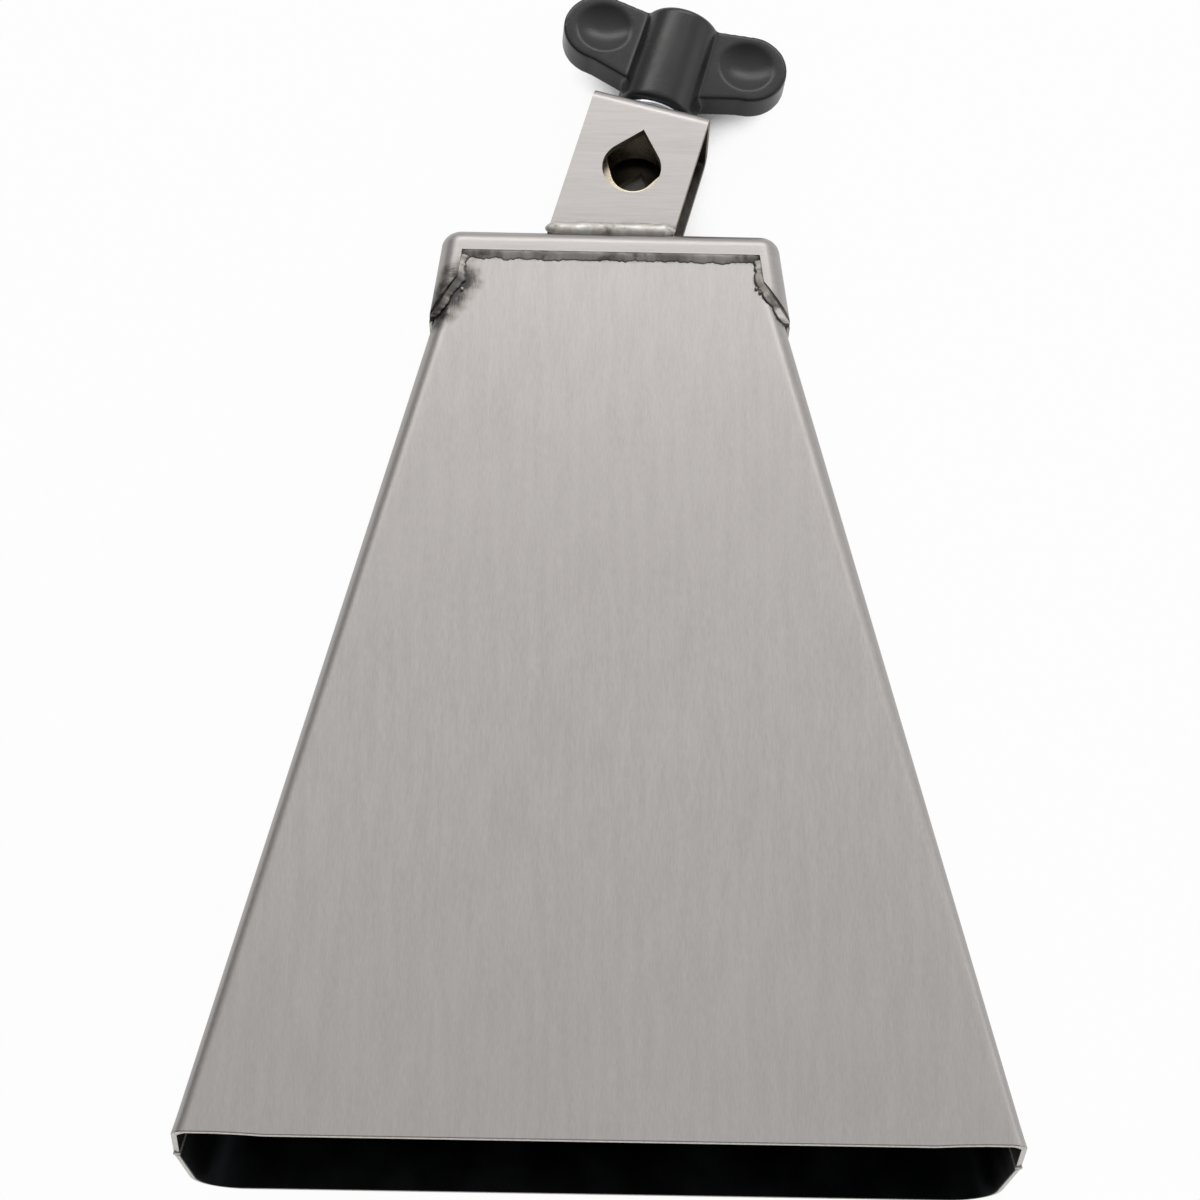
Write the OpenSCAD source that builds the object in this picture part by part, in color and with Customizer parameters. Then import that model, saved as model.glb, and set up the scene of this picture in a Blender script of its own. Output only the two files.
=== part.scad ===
// Hand-played steel cowbell with a welded rod clamp and a wing nut, lying on its back.
// Each piece is drawn upright in the bell's own frame, and laid down at the end:
//   x to the right, y from the playing face to the back, z from the mouth to the crown.
// The clamp's pieces are drawn about the clamp's hole: x across the bracket,
//   y from its front leg to its rear leg, z along the stud.

/* [Body] */
// Length of the bell from the mouth to the top of the crown
bell_len = 203.2; // [150:0.1:260]
// Width of the playing face at the mouth
mouth_w = 161.2; // [130:0.1:200]
// Width that the playing face tapers to at the top of the crown
crown_w = 65.4; // [58:0.1:90]
// Depth of the mouth, outside
mouth_d = 46.3; // [38:0.1:70]
// Depth of the body at the top of the crown, outside
crown_d = 22.6; // [21:0.1:34]
// Share of the body's taper in depth that is on the playing face, in percent
face_taper = 50.6; // [30:0.1:70]
// Thickness of the body's sheet
sheet_t = 1.2; // [0.8:0.1:2]
// How far the side walls bow out at the mouth, at the seams
side_bow = 0.9; // [0:0.1:3]
// Outside radius of the bends along the playing face, at the mouth
face_bend_r = 3; // [2.2:0.1:6]
// Outside radius of the bends along the back, at the mouth
back_bend_r = 11; // [6:0.1:16]
// Outside radius of all four bends at the crown
crown_bend_r = 4.2; // [3.5:0.1:6]
// Depth of the front shell's side walls at the mouth
seam_d = 16.5; // [14:0.1:22]
// Depth of the front shell's side walls at the crown
seam_crown_d = 10; // [8:0.1:12]

/* [Welds] */
// Width of the ground weld along each side seam
seam_w = 1.6; // [1:0.1:3]
// How far the side seam welds stand proud of the sheet
seam_proud = 0.1; // [0.05:0.05:0.6]
// Width of the beads where the crown's flange meets the body
flange_bead_w = 1.5; // [0.8:0.1:2.5]
// Leg of the tack welds inside the mouth's front corners
tack_leg = 3; // [1.5:0.1:4]
// Length of those tack welds along the bell
tack_len = 5; // [2:0.1:12]
// Height of the beads at the bracket's feet
foot_bead_h = 2.6; // [1:0.1:4]
// How far the beads at the bracket's feet reach past the bracket on each side
foot_bead_over = 0.8; // [0:0.1:3]
// Width of the beads at the bracket's feet
foot_bead_w = 1.5; // [0.8:0.1:1.8]

/* [Crown cap] */
// Thickness of the cap's sheet
cap_t = 1.2; // [0.8:0.1:2]
// Depth of the cap's side flanges, down from its top
cap_side_h = 21.2; // [14:0.1:30]
// Depth of the cap's front and back flanges, down from its top
cap_flange_h = 6; // [5:0.1:10]
// Width between the cap's side flanges, seen from the front
cap_window_w = 64.4; // [50:0.1:66]
// How far that opening widens towards its lower corners, on each side
cap_window_flare = 0.8; // [0:0.1:2]
// How far down the cap's side flanges keep their full width
cap_ear_h = 12.7; // [9:0.1:18]
// Gap between the cap's side flanges and the side seams at their lower edge
cap_side_gap = 0.05; // [0.05:0.05:1]
// Gap between the cap's side flanges and the body at the cap's top
cap_top_gap = 2.5; // [0.5:0.1:8]
// Radius of the cap's corners, seen from above
cap_corner_r = 4.5; // [4:0.1:6]
// Radius of the cap's top edge
cap_edge_r = 3.8; // [2:0.1:4]

/* [Bracket] */
// Width of the bracket's flat bar
bar_w = 26.5; // [22:0.1:32]
// Thickness of the bracket's flat bar
bar_t = 2; // [1.5:0.1:3]
// Depth of the bracket over both legs
bracket_d = 20; // [18:0.1:21.4]
// How far the bracket stands in front of the crown's middle
bracket_shift = 0.7; // [0:0.1:1.2]
// Outside radius of the bracket's bends
bracket_bend_r = 3; // [2.4:0.1:5]
// Height of the bracket's top above the centre of its rod hole
bracket_top = 18.2; // [16:0.1:24]
// Lean of the bracket to the right, in degrees
lean = 15; // [0:0.5:20]
// Height of the rod hole's centre above the crown
hole_h = 16.9; // [15:0.1:24]
// Distance of the rod hole's centre to the right of the middle
hole_x = 4.35; // [0:0.05:10]
// Radius of the rod hole
hole_r = 6.5; // [6:0.05:8]
// Height of the rod hole's point above its centre
hole_tip = 10; // [8.5:0.1:11.5]
// Half of the angle at the rod hole's point, in degrees
hole_tip_angle = 37; // [33:0.5:39]
// Radius of the stud hole in the bracket's top
stud_hole_r = 4.25; // [4.15:0.05:5]

/* [Eye bolt] */
// Thickness of the eye
eye_t = 12; // [8:0.1:15]
// Width of the eye
eye_w = 19.6; // [18:0.1:24]
// Radius of the saddle that the rod lies in
saddle_r = 4.8; // [4:0.05:5.4]
// Height of the saddle's lowest line from the rod hole's centre
saddle_low = -3.5; // [-5:0.1:-2.5]
// Radius of the wide upper part of the eye's opening
eye_open_r = 6.8; // [6.6:0.05:7.5]
// Height of the wide part's centre above the saddle's centre
eye_open_h = 4.2; // [3.5:0.1:4.6]
// Wall of the eye over its opening
eye_top_wall = 2.3; // [1.5:0.1:2.6]
// Wall of the eye under its saddle
eye_foot_wall = 4; // [3:0.1:5]
// Radius of the stud
stud_r = 4; // [3:0.05:4]
// How far the stud's end lies below the top of the wing nut
stud_short = 2; // [1.4:0.1:6]

/* [Wing nut] */
// Thickness of the washer under the wing nut
washer_t = 1; // [0.8:0.1:2.5]
// Radius of the washer
washer_r = 8.2; // [6.5:0.1:9]
// Height of the wing nut's hub
hub_h = 25.6; // [20:0.1:32]
// Radius of the hub at its foot
hub_foot_r = 9.2; // [8:0.1:11]
// Radius of the hub at its top
hub_top_r = 8.8; // [7.5:0.1:11]
// Chamfer around both ends of the hub
hub_chamfer = 0.8; // [0.3:0.1:1.5]
// Radius of the round ends of the wings
wing_r = 8.6; // [7:0.1:11]
// Distance of the round ends' centres from the stud's axis
wing_reach = 17.4; // [15:0.1:22]
// Height of the round ends' centres above the hub's foot
wing_h = 17.8; // [15:0.1:20]
// Thickness of the wings
wing_t = 7.2; // [5:0.1:9]
// Height of the wings' lower edge above the hub's foot, at the hub
wing_root_h = 6; // [3:0.1:8]
// Drop of the wings' upper edge below the hub's top, at the hub
wing_root_drop = 0.8; // [0.2:0.1:3]
// Radius of the thumb dishes in the wings
dish_r = 5.8; // [4:0.1:6.5]
// Depth of the thumb dishes
dish_depth = 1.6; // [0.5:0.1:2.2]
// Radius of the brass insert
insert_r = 5.5; // [5:0.1:6.5]
// How far the insert's end lies below the top of the wing nut
insert_short = 0.2; // [0:0.1:1]
// Turn of the wings about the stud, in degrees
wing_turn = 3; // [-10:1:10]

/* [Hidden] */
$fn = 64;
fit_gap = 0.05;         // between pieces that are welded or pressed together
run_gap = 0.06;         // between the stud and the insert's bore
eps = 0.01;
arc_steps = 6;          // facets in each bend of the body
round_fn = 32;          // facets around the corners of the hulled cap
bead_end = 0.3;         // size of a foot bead at its ends, as a share of its middle
bead_brow = [0.7, 0.6]; // where a foot bead's rounded brow lies, as shares of its width and height
wide = 2 * mouth_w;     // longer than anything that is cut

steel = [0.70, 0.69, 0.67];
weld_grey = [0.45, 0.45, 0.46];
zinc = [0.80, 0.83, 0.87];
nylon = [0.08, 0.08, 0.09];
brass = [0.72, 0.55, 0.32];

// The body at a height z above the mouth
function at(z, low, high) = low + (high - low) * z / bell_len;
face_setback = (mouth_d - crown_d) * face_taper / 100;
function face_y(z) = at(z, 0, face_setback);
function back_y(z) = at(z, mouth_d, face_setback + crown_d);
function half_w(z) = at(z, mouth_w, crown_w) / 2;
function seam_half_w(z) = half_w(z) + at(z, side_bow, 0);
function seam_y(z) = face_y(z) + at(z, seam_d, seam_crown_d);
body_top = bell_len - cap_edge_r;

// The cap's outline at a height z above the mouth
cap_foot_z = bell_len - cap_side_h;
cap_skirt = cap_t + 2 * fit_gap;
cap_top_w = crown_w + 2 * (cap_t + cap_top_gap);
cap_foot_w = 2 * (seam_half_w(cap_foot_z) + seam_proud + cap_side_gap + cap_t);
function cap_half_w(z) = cap_top_w / 2 + (cap_foot_w - cap_top_w) / 2 * (bell_len - z) / cap_side_h;
window_top_z = bell_len - cap_flange_h;
ear_z = bell_len - cap_ear_h;
window_ear_x = cap_window_w / 2 + cap_window_flare;

// The clamp's frame
hole_z = bell_len + hole_h;
bracket_y = face_y(bell_len) - cap_skirt + (crown_d + 2 * cap_skirt - bracket_d) / 2
            - bracket_shift;
mid_y = bracket_d / 2;
hub_foot = bracket_top + washer_t + fit_gap;
hub_top = hub_foot + hub_h;
saddle_c = saddle_low + saddle_r;
eye_open_c = saddle_c + eye_open_h;
eye_top = eye_open_c + eye_open_r + eye_top_wall;
eye_foot = saddle_low - eye_foot_wall;
wing_c = hub_foot + wing_h;
function foot_x(side) = hole_x + (side * bar_w / 2 - hole_h * sin(lean)) / cos(lean);

// The rest pose: the bell lies on the mouth's rear lip and the cap's rear flange
flange_foot_y = back_y(window_top_z) + cap_skirt;
rest_tilt = atan((mouth_d - flange_foot_y) / window_top_z);
top_z = hole_z + wing_c * cos(lean) + wing_reach * sin(lean) + wing_r;
top_y = bracket_y + mid_y;
length_mid = ((top_z * cos(rest_tilt) - top_y * sin(rest_tilt)) - mouth_d * sin(rest_tilt)) / 2;

// ---- Helpers ----

// Lays the upright bell on its back, with the row's origin under its middle
module laid() {
    translate([0, -length_mid, mouth_d * cos(rest_tilt)])
        rotate([-90 - rest_tilt, 0, 0]) children();
}

// Puts the clamp's frame on the crown
module in_clamp() {
    laid() translate([hole_x, bracket_y, hole_z]) rotate([0, lean, 0]) children();
}

// Extrudes an outline drawn in x and z through the depth from y0 to y1
module through(y0, y1) {
    translate([0, y1, 0]) rotate([90, 0, 0]) linear_extrude(y1 - y0) children();
}

// A solid through rings of points, all with as many points; its ends are flat and convex
module sweep(rings) {
    n = len(rings[0]);
    last = (len(rings) - 1) * n;
    sides = [for (k = [0 : len(rings) - 2], i = [0 : n - 1])
        [k * n + i, k * n + (i + 1) % n, (k + 1) * n + (i + 1) % n, (k + 1) * n + i]];
    ends = [[for (i = [n - 1 : -1 : 0]) i], [for (i = [0 : n - 1]) last + i]];
    polyhedron([for (ring = rings, p = ring) p], concat(sides, ends), convexity = 6);
}

// A bent sheet between two heights, from the points of its outer and inner surface at each
module bent_sheet(outer_low, inner_low, outer_high, inner_high) {
    n = len(outer_low);
    points = concat(outer_low, inner_low, outer_high, inner_high);
    between = [for (i = [0 : n - 2]) each [
        [i, i + 1, 2 * n + i + 1, 2 * n + i],
        [n + i + 1, n + i, 3 * n + i, 3 * n + i + 1],
        [i + 1, i, n + i, n + i + 1],
        [2 * n + i, 2 * n + i + 1, 3 * n + i + 1, 3 * n + i]]];
    edges = [[n, 0, 2 * n, 3 * n], [n - 1, 2 * n - 1, 4 * n - 1, 3 * n - 1]];
    polyhedron(points, concat(between, edges), convexity = 8);
}

function reversed(path) = [for (i = [len(path) - 1 : -1 : 0]) path[i]];
function mirrored(path) = [for (p = reversed(path)) [-p[0], p[1], p[2]]];

// Right half of the front shell's section, from the seam to the playing face, t inside
function face_half(z, t) =
    let (r = at(z, face_bend_r, crown_bend_r), w = half_w(z), y = face_y(z))
    concat([[seam_half_w(z) - t, seam_y(z) - seam_w / 2, z]],
           [for (i = [0 : arc_steps]) let (a = -90 * i / arc_steps)
               [w - r + (r - t) * cos(a), y + r + (r - t) * sin(a), z]]);

// Right half of the rear shell's section, from the seam to the back, t inside
function back_half(z, t) =
    let (r = at(z, back_bend_r, crown_bend_r), w = half_w(z), y = back_y(z))
    concat([[seam_half_w(z) - t, seam_y(z) + seam_w / 2, z]],
           [for (i = [0 : arc_steps]) let (a = 90 * i / arc_steps)
               [w - r + (r - t) * cos(a), y - r + (r - t) * sin(a), z]]);

// Whole sections: the face's from the right seam to the left, the back's from left to right
function face_path(z, t) = concat(face_half(z, t), mirrored(face_half(z, t)));
function back_path(z, t) = reversed(concat(back_half(z, t), mirrored(back_half(z, t))));

// ---- Body ----

module front_shell() {
    color(steel) laid()
        bent_sheet(face_path(0, 0), face_path(0, sheet_t),
                   face_path(body_top, 0), face_path(body_top, sheet_t));
}

module rear_shell() {
    color(steel) laid()
        bent_sheet(back_path(0, 0), back_path(0, sheet_t),
                   back_path(body_top, 0), back_path(body_top, sheet_t));
}

// One side's seam weld at a height z: it fills the gap between the shells
function seam_ring(z) =
    let (x = seam_half_w(z), y = seam_y(z), g = seam_w / 2 - fit_gap)
    [[x - sheet_t, y + g, z], [x, y + g, z], [x + seam_proud, y, z],
     [x, y - g, z], [x - sheet_t, y - g, z]];

module side_seam_welds() {
    color(steel) laid()
        for (side = [0, 1]) mirror([side, 0, 0]) sweep([seam_ring(0), seam_ring(body_top)]);
}

// A tack weld in the angle inside the mouth's front corner
function tack_ring(z, leg) =
    let (x = half_w(z) - sheet_t - fit_gap, y = face_y(z) + sheet_t + fit_gap,
         c = face_bend_r - sheet_t)
    [[x - c - leg, y, z], [x - c, y + c, z], [x, y + c + leg, z],
     [x, y + c, z], [x - 0.3 * c, y + 0.3 * c, z], [x - c, y, z]];

module mouth_corner_tacks() {
    color(weld_grey) laid()
        for (side = [0, 1]) mirror([side, 0, 0])
            sweep([tack_ring(sheet_t, tack_leg), tack_ring(sheet_t + tack_len, tack_leg)]);
}

// ---- Crown ----

// One rounded upper corner of the cap, t inside its outer face
module cap_knob(t) {
    r = cap_corner_r - cap_edge_r;
    rotate_extrude($fn = round_fn) {
        square([r, cap_edge_r - t]);
        intersection() {
            translate([r, 0]) circle(cap_edge_r - t, $fn = round_fn);
            square(wide);
        }
    }
}

// The cap's outer form, or its hollow with t set to the sheet's thickness
module cap_form(t) {
    foot_z = cap_foot_z - (t > 0 ? 1 : 0);
    knob_z = bell_len - cap_edge_r;
    inset = cap_corner_r;
    hull() {
        for (side = [-1, 1], back = [0, 1]) {
            foot_y = back ? back_y(foot_z) + cap_skirt - inset : face_y(foot_z) - cap_skirt + inset;
            knob_y = back ? back_y(knob_z) + cap_skirt - inset : face_y(knob_z) - cap_skirt + inset;
            translate([side * (cap_half_w(foot_z) - inset), foot_y, foot_z])
                cylinder(h = eps, r = cap_corner_r - t, $fn = round_fn);
            translate([side * (cap_half_w(knob_z) - inset), knob_y, knob_z]) cap_knob(t);
        }
    }
}

// The opening between the ears, with its lower corners cut away to the side walls
module window_shape() {
    low = cap_foot_z - 1;
    polygon([[-cap_window_w / 2, window_top_z], [cap_window_w / 2, window_top_z],
             [window_ear_x, ear_z], [cap_half_w(low) + 1, low],
             [-cap_half_w(low) - 1, low], [-window_ear_x, ear_z]]);
}

module crown_cap() {
    color(steel) laid() difference() {
        cap_form(0);
        cap_form(cap_t);
        through(-cap_skirt, face_y(bell_len) - cap_skirt + cap_corner_r) window_shape();
        through(back_y(cap_foot_z) + cap_skirt - cap_corner_r, mouth_d) window_shape();
    }
}

// Points of a bead inside the window's edge; face(z) is the plate and out points away from it
function window_edge() = [[-window_ear_x, ear_z], [-cap_window_w / 2, window_top_z],
                          [cap_window_w / 2, window_top_z], [window_ear_x, ear_z]];
function window_inner() =
    let (e = window_edge(), w = flange_bead_w)
    [e[0] + [w, 0], e[1] + [w, -w], e[2] - [w, w], e[3] - [w, 0]];
function bead_y(z, out) = out < 0 ? face_y(z) - fit_gap : back_y(z) + fit_gap;

module window_bead(out) {
    outer = window_edge();
    inner = window_inner();
    back_off = 2 * fit_gap;
    rings = [for (i = [0 : 3])
        let (o = outer[i] + [sign(inner[i][0] - outer[i][0]) * back_off, i == 1 || i == 2 ? -back_off : 0],
             n = inner[i])
        [[o[0], bead_y(o[1], out), o[1]], [n[0], bead_y(n[1], out), n[1]],
         [o[0], bead_y(o[1], out) + out * (cap_t - fit_gap), o[1]]]];
    sweep(out < 0 ? rings : [for (ring = rings) reversed(ring)]);
}

module cap_front_weld() {
    color(weld_grey) laid() window_bead(-1);
}

module cap_rear_weld() {
    color(weld_grey) laid() window_bead(1);
}

// The bead under each side flange, against the body's side wall
module cap_side_welds() {
    y0 = face_y(bell_len) - cap_skirt + cap_corner_r + 1;
    y1 = back_y(cap_foot_z) + cap_skirt - cap_corner_r - 1;
    z1 = cap_foot_z - fit_gap;
    z0 = z1 - flange_bead_w;
    lift = seam_proud + fit_gap;
    function wall(z) = seam_half_w(z) + lift;
    function ring(y) = [[wall(z0), y, z0], [cap_half_w(cap_foot_z), y, z1], [wall(z1), y, z1]];
    color(weld_grey) laid()
        for (side = [0, 1]) mirror([side, 0, 0]) sweep([ring(y0), ring(y1)]);
}

// ---- Rod clamp ----

// The bracket's bent bar, seen from its side: x from the front leg, y up the stud
module bar_outline(t) {
    r = bracket_bend_r - t;
    low = -hole_h - bar_w;
    for (x = [bracket_bend_r, bracket_d - bracket_bend_r])
        translate([x, bracket_top - bracket_bend_r]) circle(r);
    translate([t, low]) square([bracket_d - 2 * t, bracket_top - bracket_bend_r - low]);
    translate([bracket_bend_r, low]) square([bracket_d - 2 * bracket_bend_r, bracket_top - t - low]);
}

// A drop: a circle, and a wedge from its point down to where the wedge lies inside the circle
module rod_hole() {
    tip_h = 0.8 * hole_tip;
    tip_half = tip_h * tan(hole_tip_angle);
    through(-1, bracket_d + 1) polygon([[0, hole_tip], [-tip_half, hole_tip - tip_h],
                                        [tip_half, hole_tip - tip_h]]);
    translate([0, -1, 0]) rotate([-90, 0, 0]) cylinder(h = bracket_d + 2, r = hole_r);
}

module bracket() {
    color(steel) difference() {
        in_clamp() difference() {
            translate([-bar_w / 2, 0, 0]) rotate([90, 0, 90]) linear_extrude(bar_w)
                difference() {
                    bar_outline(0);
                    bar_outline(bar_t);
                }
            rod_hole();
            translate([0, mid_y, 0]) cylinder(h = bracket_top + 1, r = stud_hole_r);
        }
        laid() translate([-wide / 2, -wide / 2, bell_len + fit_gap - wide]) cube(wide);
    }
}

// A bead along one foot of the bracket; y is the leg's face and out points away from it
module foot_bead(y, out) {
    x0 = foot_x(-1) - foot_bead_over;
    x1 = foot_x(1) + foot_bead_over;
    z = bell_len + 2 * fit_gap;
    face = y + out * fit_gap;
    taper = foot_bead_h;
    function ring(x, k) = [[x, face, z], [x, face + out * k * foot_bead_w, z],
                           [x, face + out * k * bead_brow[0] * foot_bead_w,
                            z + k * bead_brow[1] * foot_bead_h],
                           [x, face, z + k * foot_bead_h]];
    function turned(r) = out < 0 ? r : reversed(r);
    sweep([turned(ring(x0, bead_end)), turned(ring(x0 + taper, 1)),
           turned(ring(x1 - taper, 1)), turned(ring(x1, bead_end))]);
}

module bracket_front_weld() {
    color(weld_grey) laid() foot_bead(bracket_y, -1);
}

module bracket_rear_weld() {
    color(weld_grey) laid() foot_bead(bracket_y + bracket_d, 1);
}

// The eye's opening: the saddle below, the wide part above and a neck between them
module eye_opening() {
    slope = asin((eye_open_r - saddle_r) / eye_open_h);
    touch = [cos(slope), -sin(slope)];
    low = [0, saddle_c] + (saddle_r - fit_gap) * touch;
    high = [0, eye_open_c] + (eye_open_r - fit_gap) * touch;
    through(-1, bracket_d + 1)
        polygon([[-low[0], low[1]], low, high, [-high[0], high[1]]]);
    translate([0, -1, saddle_c]) rotate([-90, 0, 0]) cylinder(h = bracket_d + 2, r = saddle_r);
    translate([0, -1, eye_open_c]) rotate([-90, 0, 0]) cylinder(h = bracket_d + 2, r = eye_open_r);
}

module eye_bolt() {
    round_c = eye_foot + eye_w / 2;
    color(zinc) in_clamp() {
        difference() {
            union() {
                through(mid_y - eye_t / 2, mid_y + eye_t / 2)
                    translate([-eye_w / 2, round_c]) square([eye_w, eye_top - round_c]);
                translate([0, mid_y - eye_t / 2, round_c]) rotate([-90, 0, 0])
                    cylinder(h = eye_t, r = eye_w / 2);
                translate([0, mid_y, eye_top - 1])
                    cylinder(h = hub_top - stud_short - eye_top + 1, r = stud_r);
            }
            eye_opening();
        }
    }
}

module washer() {
    color(zinc) in_clamp() translate([0, mid_y, bracket_top + eps]) difference() {
        cylinder(h = washer_t, r = washer_r);
        translate([0, 0, -1]) cylinder(h = washer_t + 2, r = stud_hole_r);
    }
}

// ---- Wing nut ----

// One wing, drawn to the right of the stud's axis, with y up the stud
module wing_outline() {
    root_x = 0.7 * hub_top_r; // inside the hub
    translate([wing_reach, wing_c]) circle(wing_r);
    polygon([[root_x, hub_foot + wing_root_h], [root_x, hub_top - wing_root_drop],
             [wing_reach, wing_c + wing_r - eps], [wing_reach, wing_c - wing_r + eps]]);
}

module wing_nut() {
    ball_r = (dish_r * dish_r + dish_depth * dish_depth) / (2 * dish_depth);
    k = hub_chamfer;
    color(nylon) in_clamp() translate([0, mid_y, 0]) rotate([0, 0, wing_turn]) difference() {
        union() {
            rotate_extrude() polygon([[0, hub_foot], [hub_foot_r - k, hub_foot], [hub_foot_r, hub_foot + k],
                                      [hub_top_r, hub_top - k], [hub_top_r - k, hub_top], [0, hub_top]]);
            for (side = [0, 1]) mirror([side, 0, 0])
                through(-wing_t / 2, wing_t / 2) wing_outline();
        }
        translate([0, 0, hub_foot - 1]) cylinder(h = hub_h + 2, r = insert_r + fit_gap);
        for (side = [-1, 1], face = [-1, 1])
            translate([side * wing_reach, face * (wing_t / 2 + ball_r - dish_depth), wing_c])
                sphere(ball_r);
    }
}

module thread_insert() {
    color(brass) in_clamp() translate([0, mid_y, hub_foot]) difference() {
        cylinder(h = hub_h - insert_short, r = insert_r);
        translate([0, 0, -1]) cylinder(h = hub_h + 2, r = stud_r + run_gap);
    }
}

front_shell();
rear_shell();
side_seam_welds();
mouth_corner_tacks();
crown_cap();
cap_front_weld();
cap_rear_weld();
cap_side_welds();
bracket();
bracket_front_weld();
bracket_rear_weld();
eye_bolt();
washer();
wing_nut();
thread_insert();
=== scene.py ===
"""A steel cowbell with a rod clamp: its pieces, finishes and studio stage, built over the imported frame."""
import math

import bmesh
import bpy
from bpy.props import FloatProperty, FloatVectorProperty, PointerProperty
from mathutils import Matrix, Vector, noise


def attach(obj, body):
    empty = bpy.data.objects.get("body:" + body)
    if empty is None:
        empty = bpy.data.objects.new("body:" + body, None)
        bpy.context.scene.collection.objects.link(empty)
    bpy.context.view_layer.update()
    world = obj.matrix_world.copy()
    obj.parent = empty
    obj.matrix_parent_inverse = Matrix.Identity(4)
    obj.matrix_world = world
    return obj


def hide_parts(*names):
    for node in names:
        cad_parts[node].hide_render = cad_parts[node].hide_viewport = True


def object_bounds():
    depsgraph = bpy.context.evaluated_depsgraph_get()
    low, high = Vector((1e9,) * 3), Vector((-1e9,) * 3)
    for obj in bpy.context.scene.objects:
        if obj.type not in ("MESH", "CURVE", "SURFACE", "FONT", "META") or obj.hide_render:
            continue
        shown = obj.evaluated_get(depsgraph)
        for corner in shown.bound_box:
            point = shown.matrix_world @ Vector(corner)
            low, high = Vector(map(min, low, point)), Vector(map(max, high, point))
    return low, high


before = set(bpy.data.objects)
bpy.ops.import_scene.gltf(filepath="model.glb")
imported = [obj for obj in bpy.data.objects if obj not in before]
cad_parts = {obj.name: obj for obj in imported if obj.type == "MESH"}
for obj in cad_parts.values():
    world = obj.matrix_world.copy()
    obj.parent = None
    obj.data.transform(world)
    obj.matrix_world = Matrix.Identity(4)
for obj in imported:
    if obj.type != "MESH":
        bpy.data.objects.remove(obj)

bl_info = {
    "name": "Cowbell",
    "version": (1, 0, 0),
    "blender": (4, 5, 0),
    "location": "3D View > Sidebar > Cowbell",
    "description": "Builds a steel cowbell with a rod clamp and a wing nut",
    "category": "Add Mesh",
}

MM = 0.001
CAD_LOW, CAD_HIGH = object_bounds()


def from_hex(code):
    """Linear colour of an sRGB hex value."""
    parts = [int(code[i : i + 2], 16) / 255 for i in (0, 2, 4)]
    return [c / 12.92 if c <= 0.04045 else ((c + 0.055) / 1.055) ** 2.4 for c in parts]


def size(name, mm, description):
    """A length in millimetres as a property in metres."""
    return FloatProperty(name=name, description=description, default=mm * MM, unit="LENGTH", precision=4)


def colour(name, code, description):
    """An sRGB hex colour as a property."""
    return FloatVectorProperty(name=name, description=description, default=from_hex(code), subtype="COLOR")


# ---- Sizes and colours that a user would change ----


class BellSizes(bpy.types.PropertyGroup):
    """The body, drawn upright: x across, y from the playing face to the back, z from mouth to crown"""

    length: size("Length", 203.2, "From the mouth to the top of the crown")
    mouth_width: size("Mouth width", 161.2, "Width of the playing face at the mouth")
    crown_width: size("Crown width", 65.4, "Width of the playing face at the crown")
    mouth_depth: size("Mouth depth", 46.3, "Depth of the mouth, outside")
    crown_depth: size("Crown depth", 22.6, "Depth of the body at the crown, outside")
    face_taper: FloatProperty(
        name="Face taper",
        description="Share of the taper in depth that is on the playing face",
        default=50.6,
        subtype="PERCENTAGE",
    )
    sheet: size("Sheet", 1.2, "Thickness of the body's sheet")
    side_bow: size("Side bow", 0.9, "How far the side walls bow out at the mouth")
    face_bend: size("Face bend", 3, "Outside radius of the bends along the playing face, at the mouth")
    back_bend: size("Back bend", 11, "Outside radius of the bends along the back, at the mouth")
    crown_bend: size("Crown bend", 4.2, "Outside radius of the four bends at the crown")
    seam_depth: size("Seam depth", 16.5, "Depth of the front shell's side walls at the mouth")
    seam_crown_depth: size("Seam depth at crown", 10, "Depth of the front shell's side walls at the crown")
    seam_width: size("Seam width", 1.6, "Width of the ground weld along each side seam")
    lip_lift: size("Lip lift", 0.4, "How far the mouth's edge curls back at the face's two corners")
    sheet_wave: size("Sheet wave", 0.1, "Depth of the slow waves that bending and welding leave in the sheet")
    tack: size("Tack", 1.6, "Radius of the tack welds in the mouth's front corners")


class CapSizes(bpy.types.PropertyGroup):
    """The folded cap over the crown, and its welds"""

    sheet: size("Sheet", 1.2, "Thickness of the cap's sheet")
    fit: size("Fit", 0.05, "Play between the cap and the body")
    top_width: size("Top width", 72.8, "Width of the cap at its top")
    foot_width: size("Foot width", 77.79, "Width of the cap at the ends of its side flanges")
    side_height: size("Side height", 21.2, "Depth of the side flanges, down from the top")
    flange_height: size("Flange height", 6, "Depth of the front and back flanges, down from the top")
    window_width: size("Window width", 64.4, "Width between the side flanges, seen from the front")
    window_flare: size("Window flare", 0.8, "How far that opening widens towards the ears, on each side")
    ear_height: size("Ear height", 12.7, "How far down the side flanges keep their full width")
    corner: size("Corner", 4.5, "Radius of the cap's corners, seen from above")
    edge: size("Edge", 3.8, "Radius of the cap's top edge")
    bead: size("Bead", 1.3, "Width of the weld beads around the cap")


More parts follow.
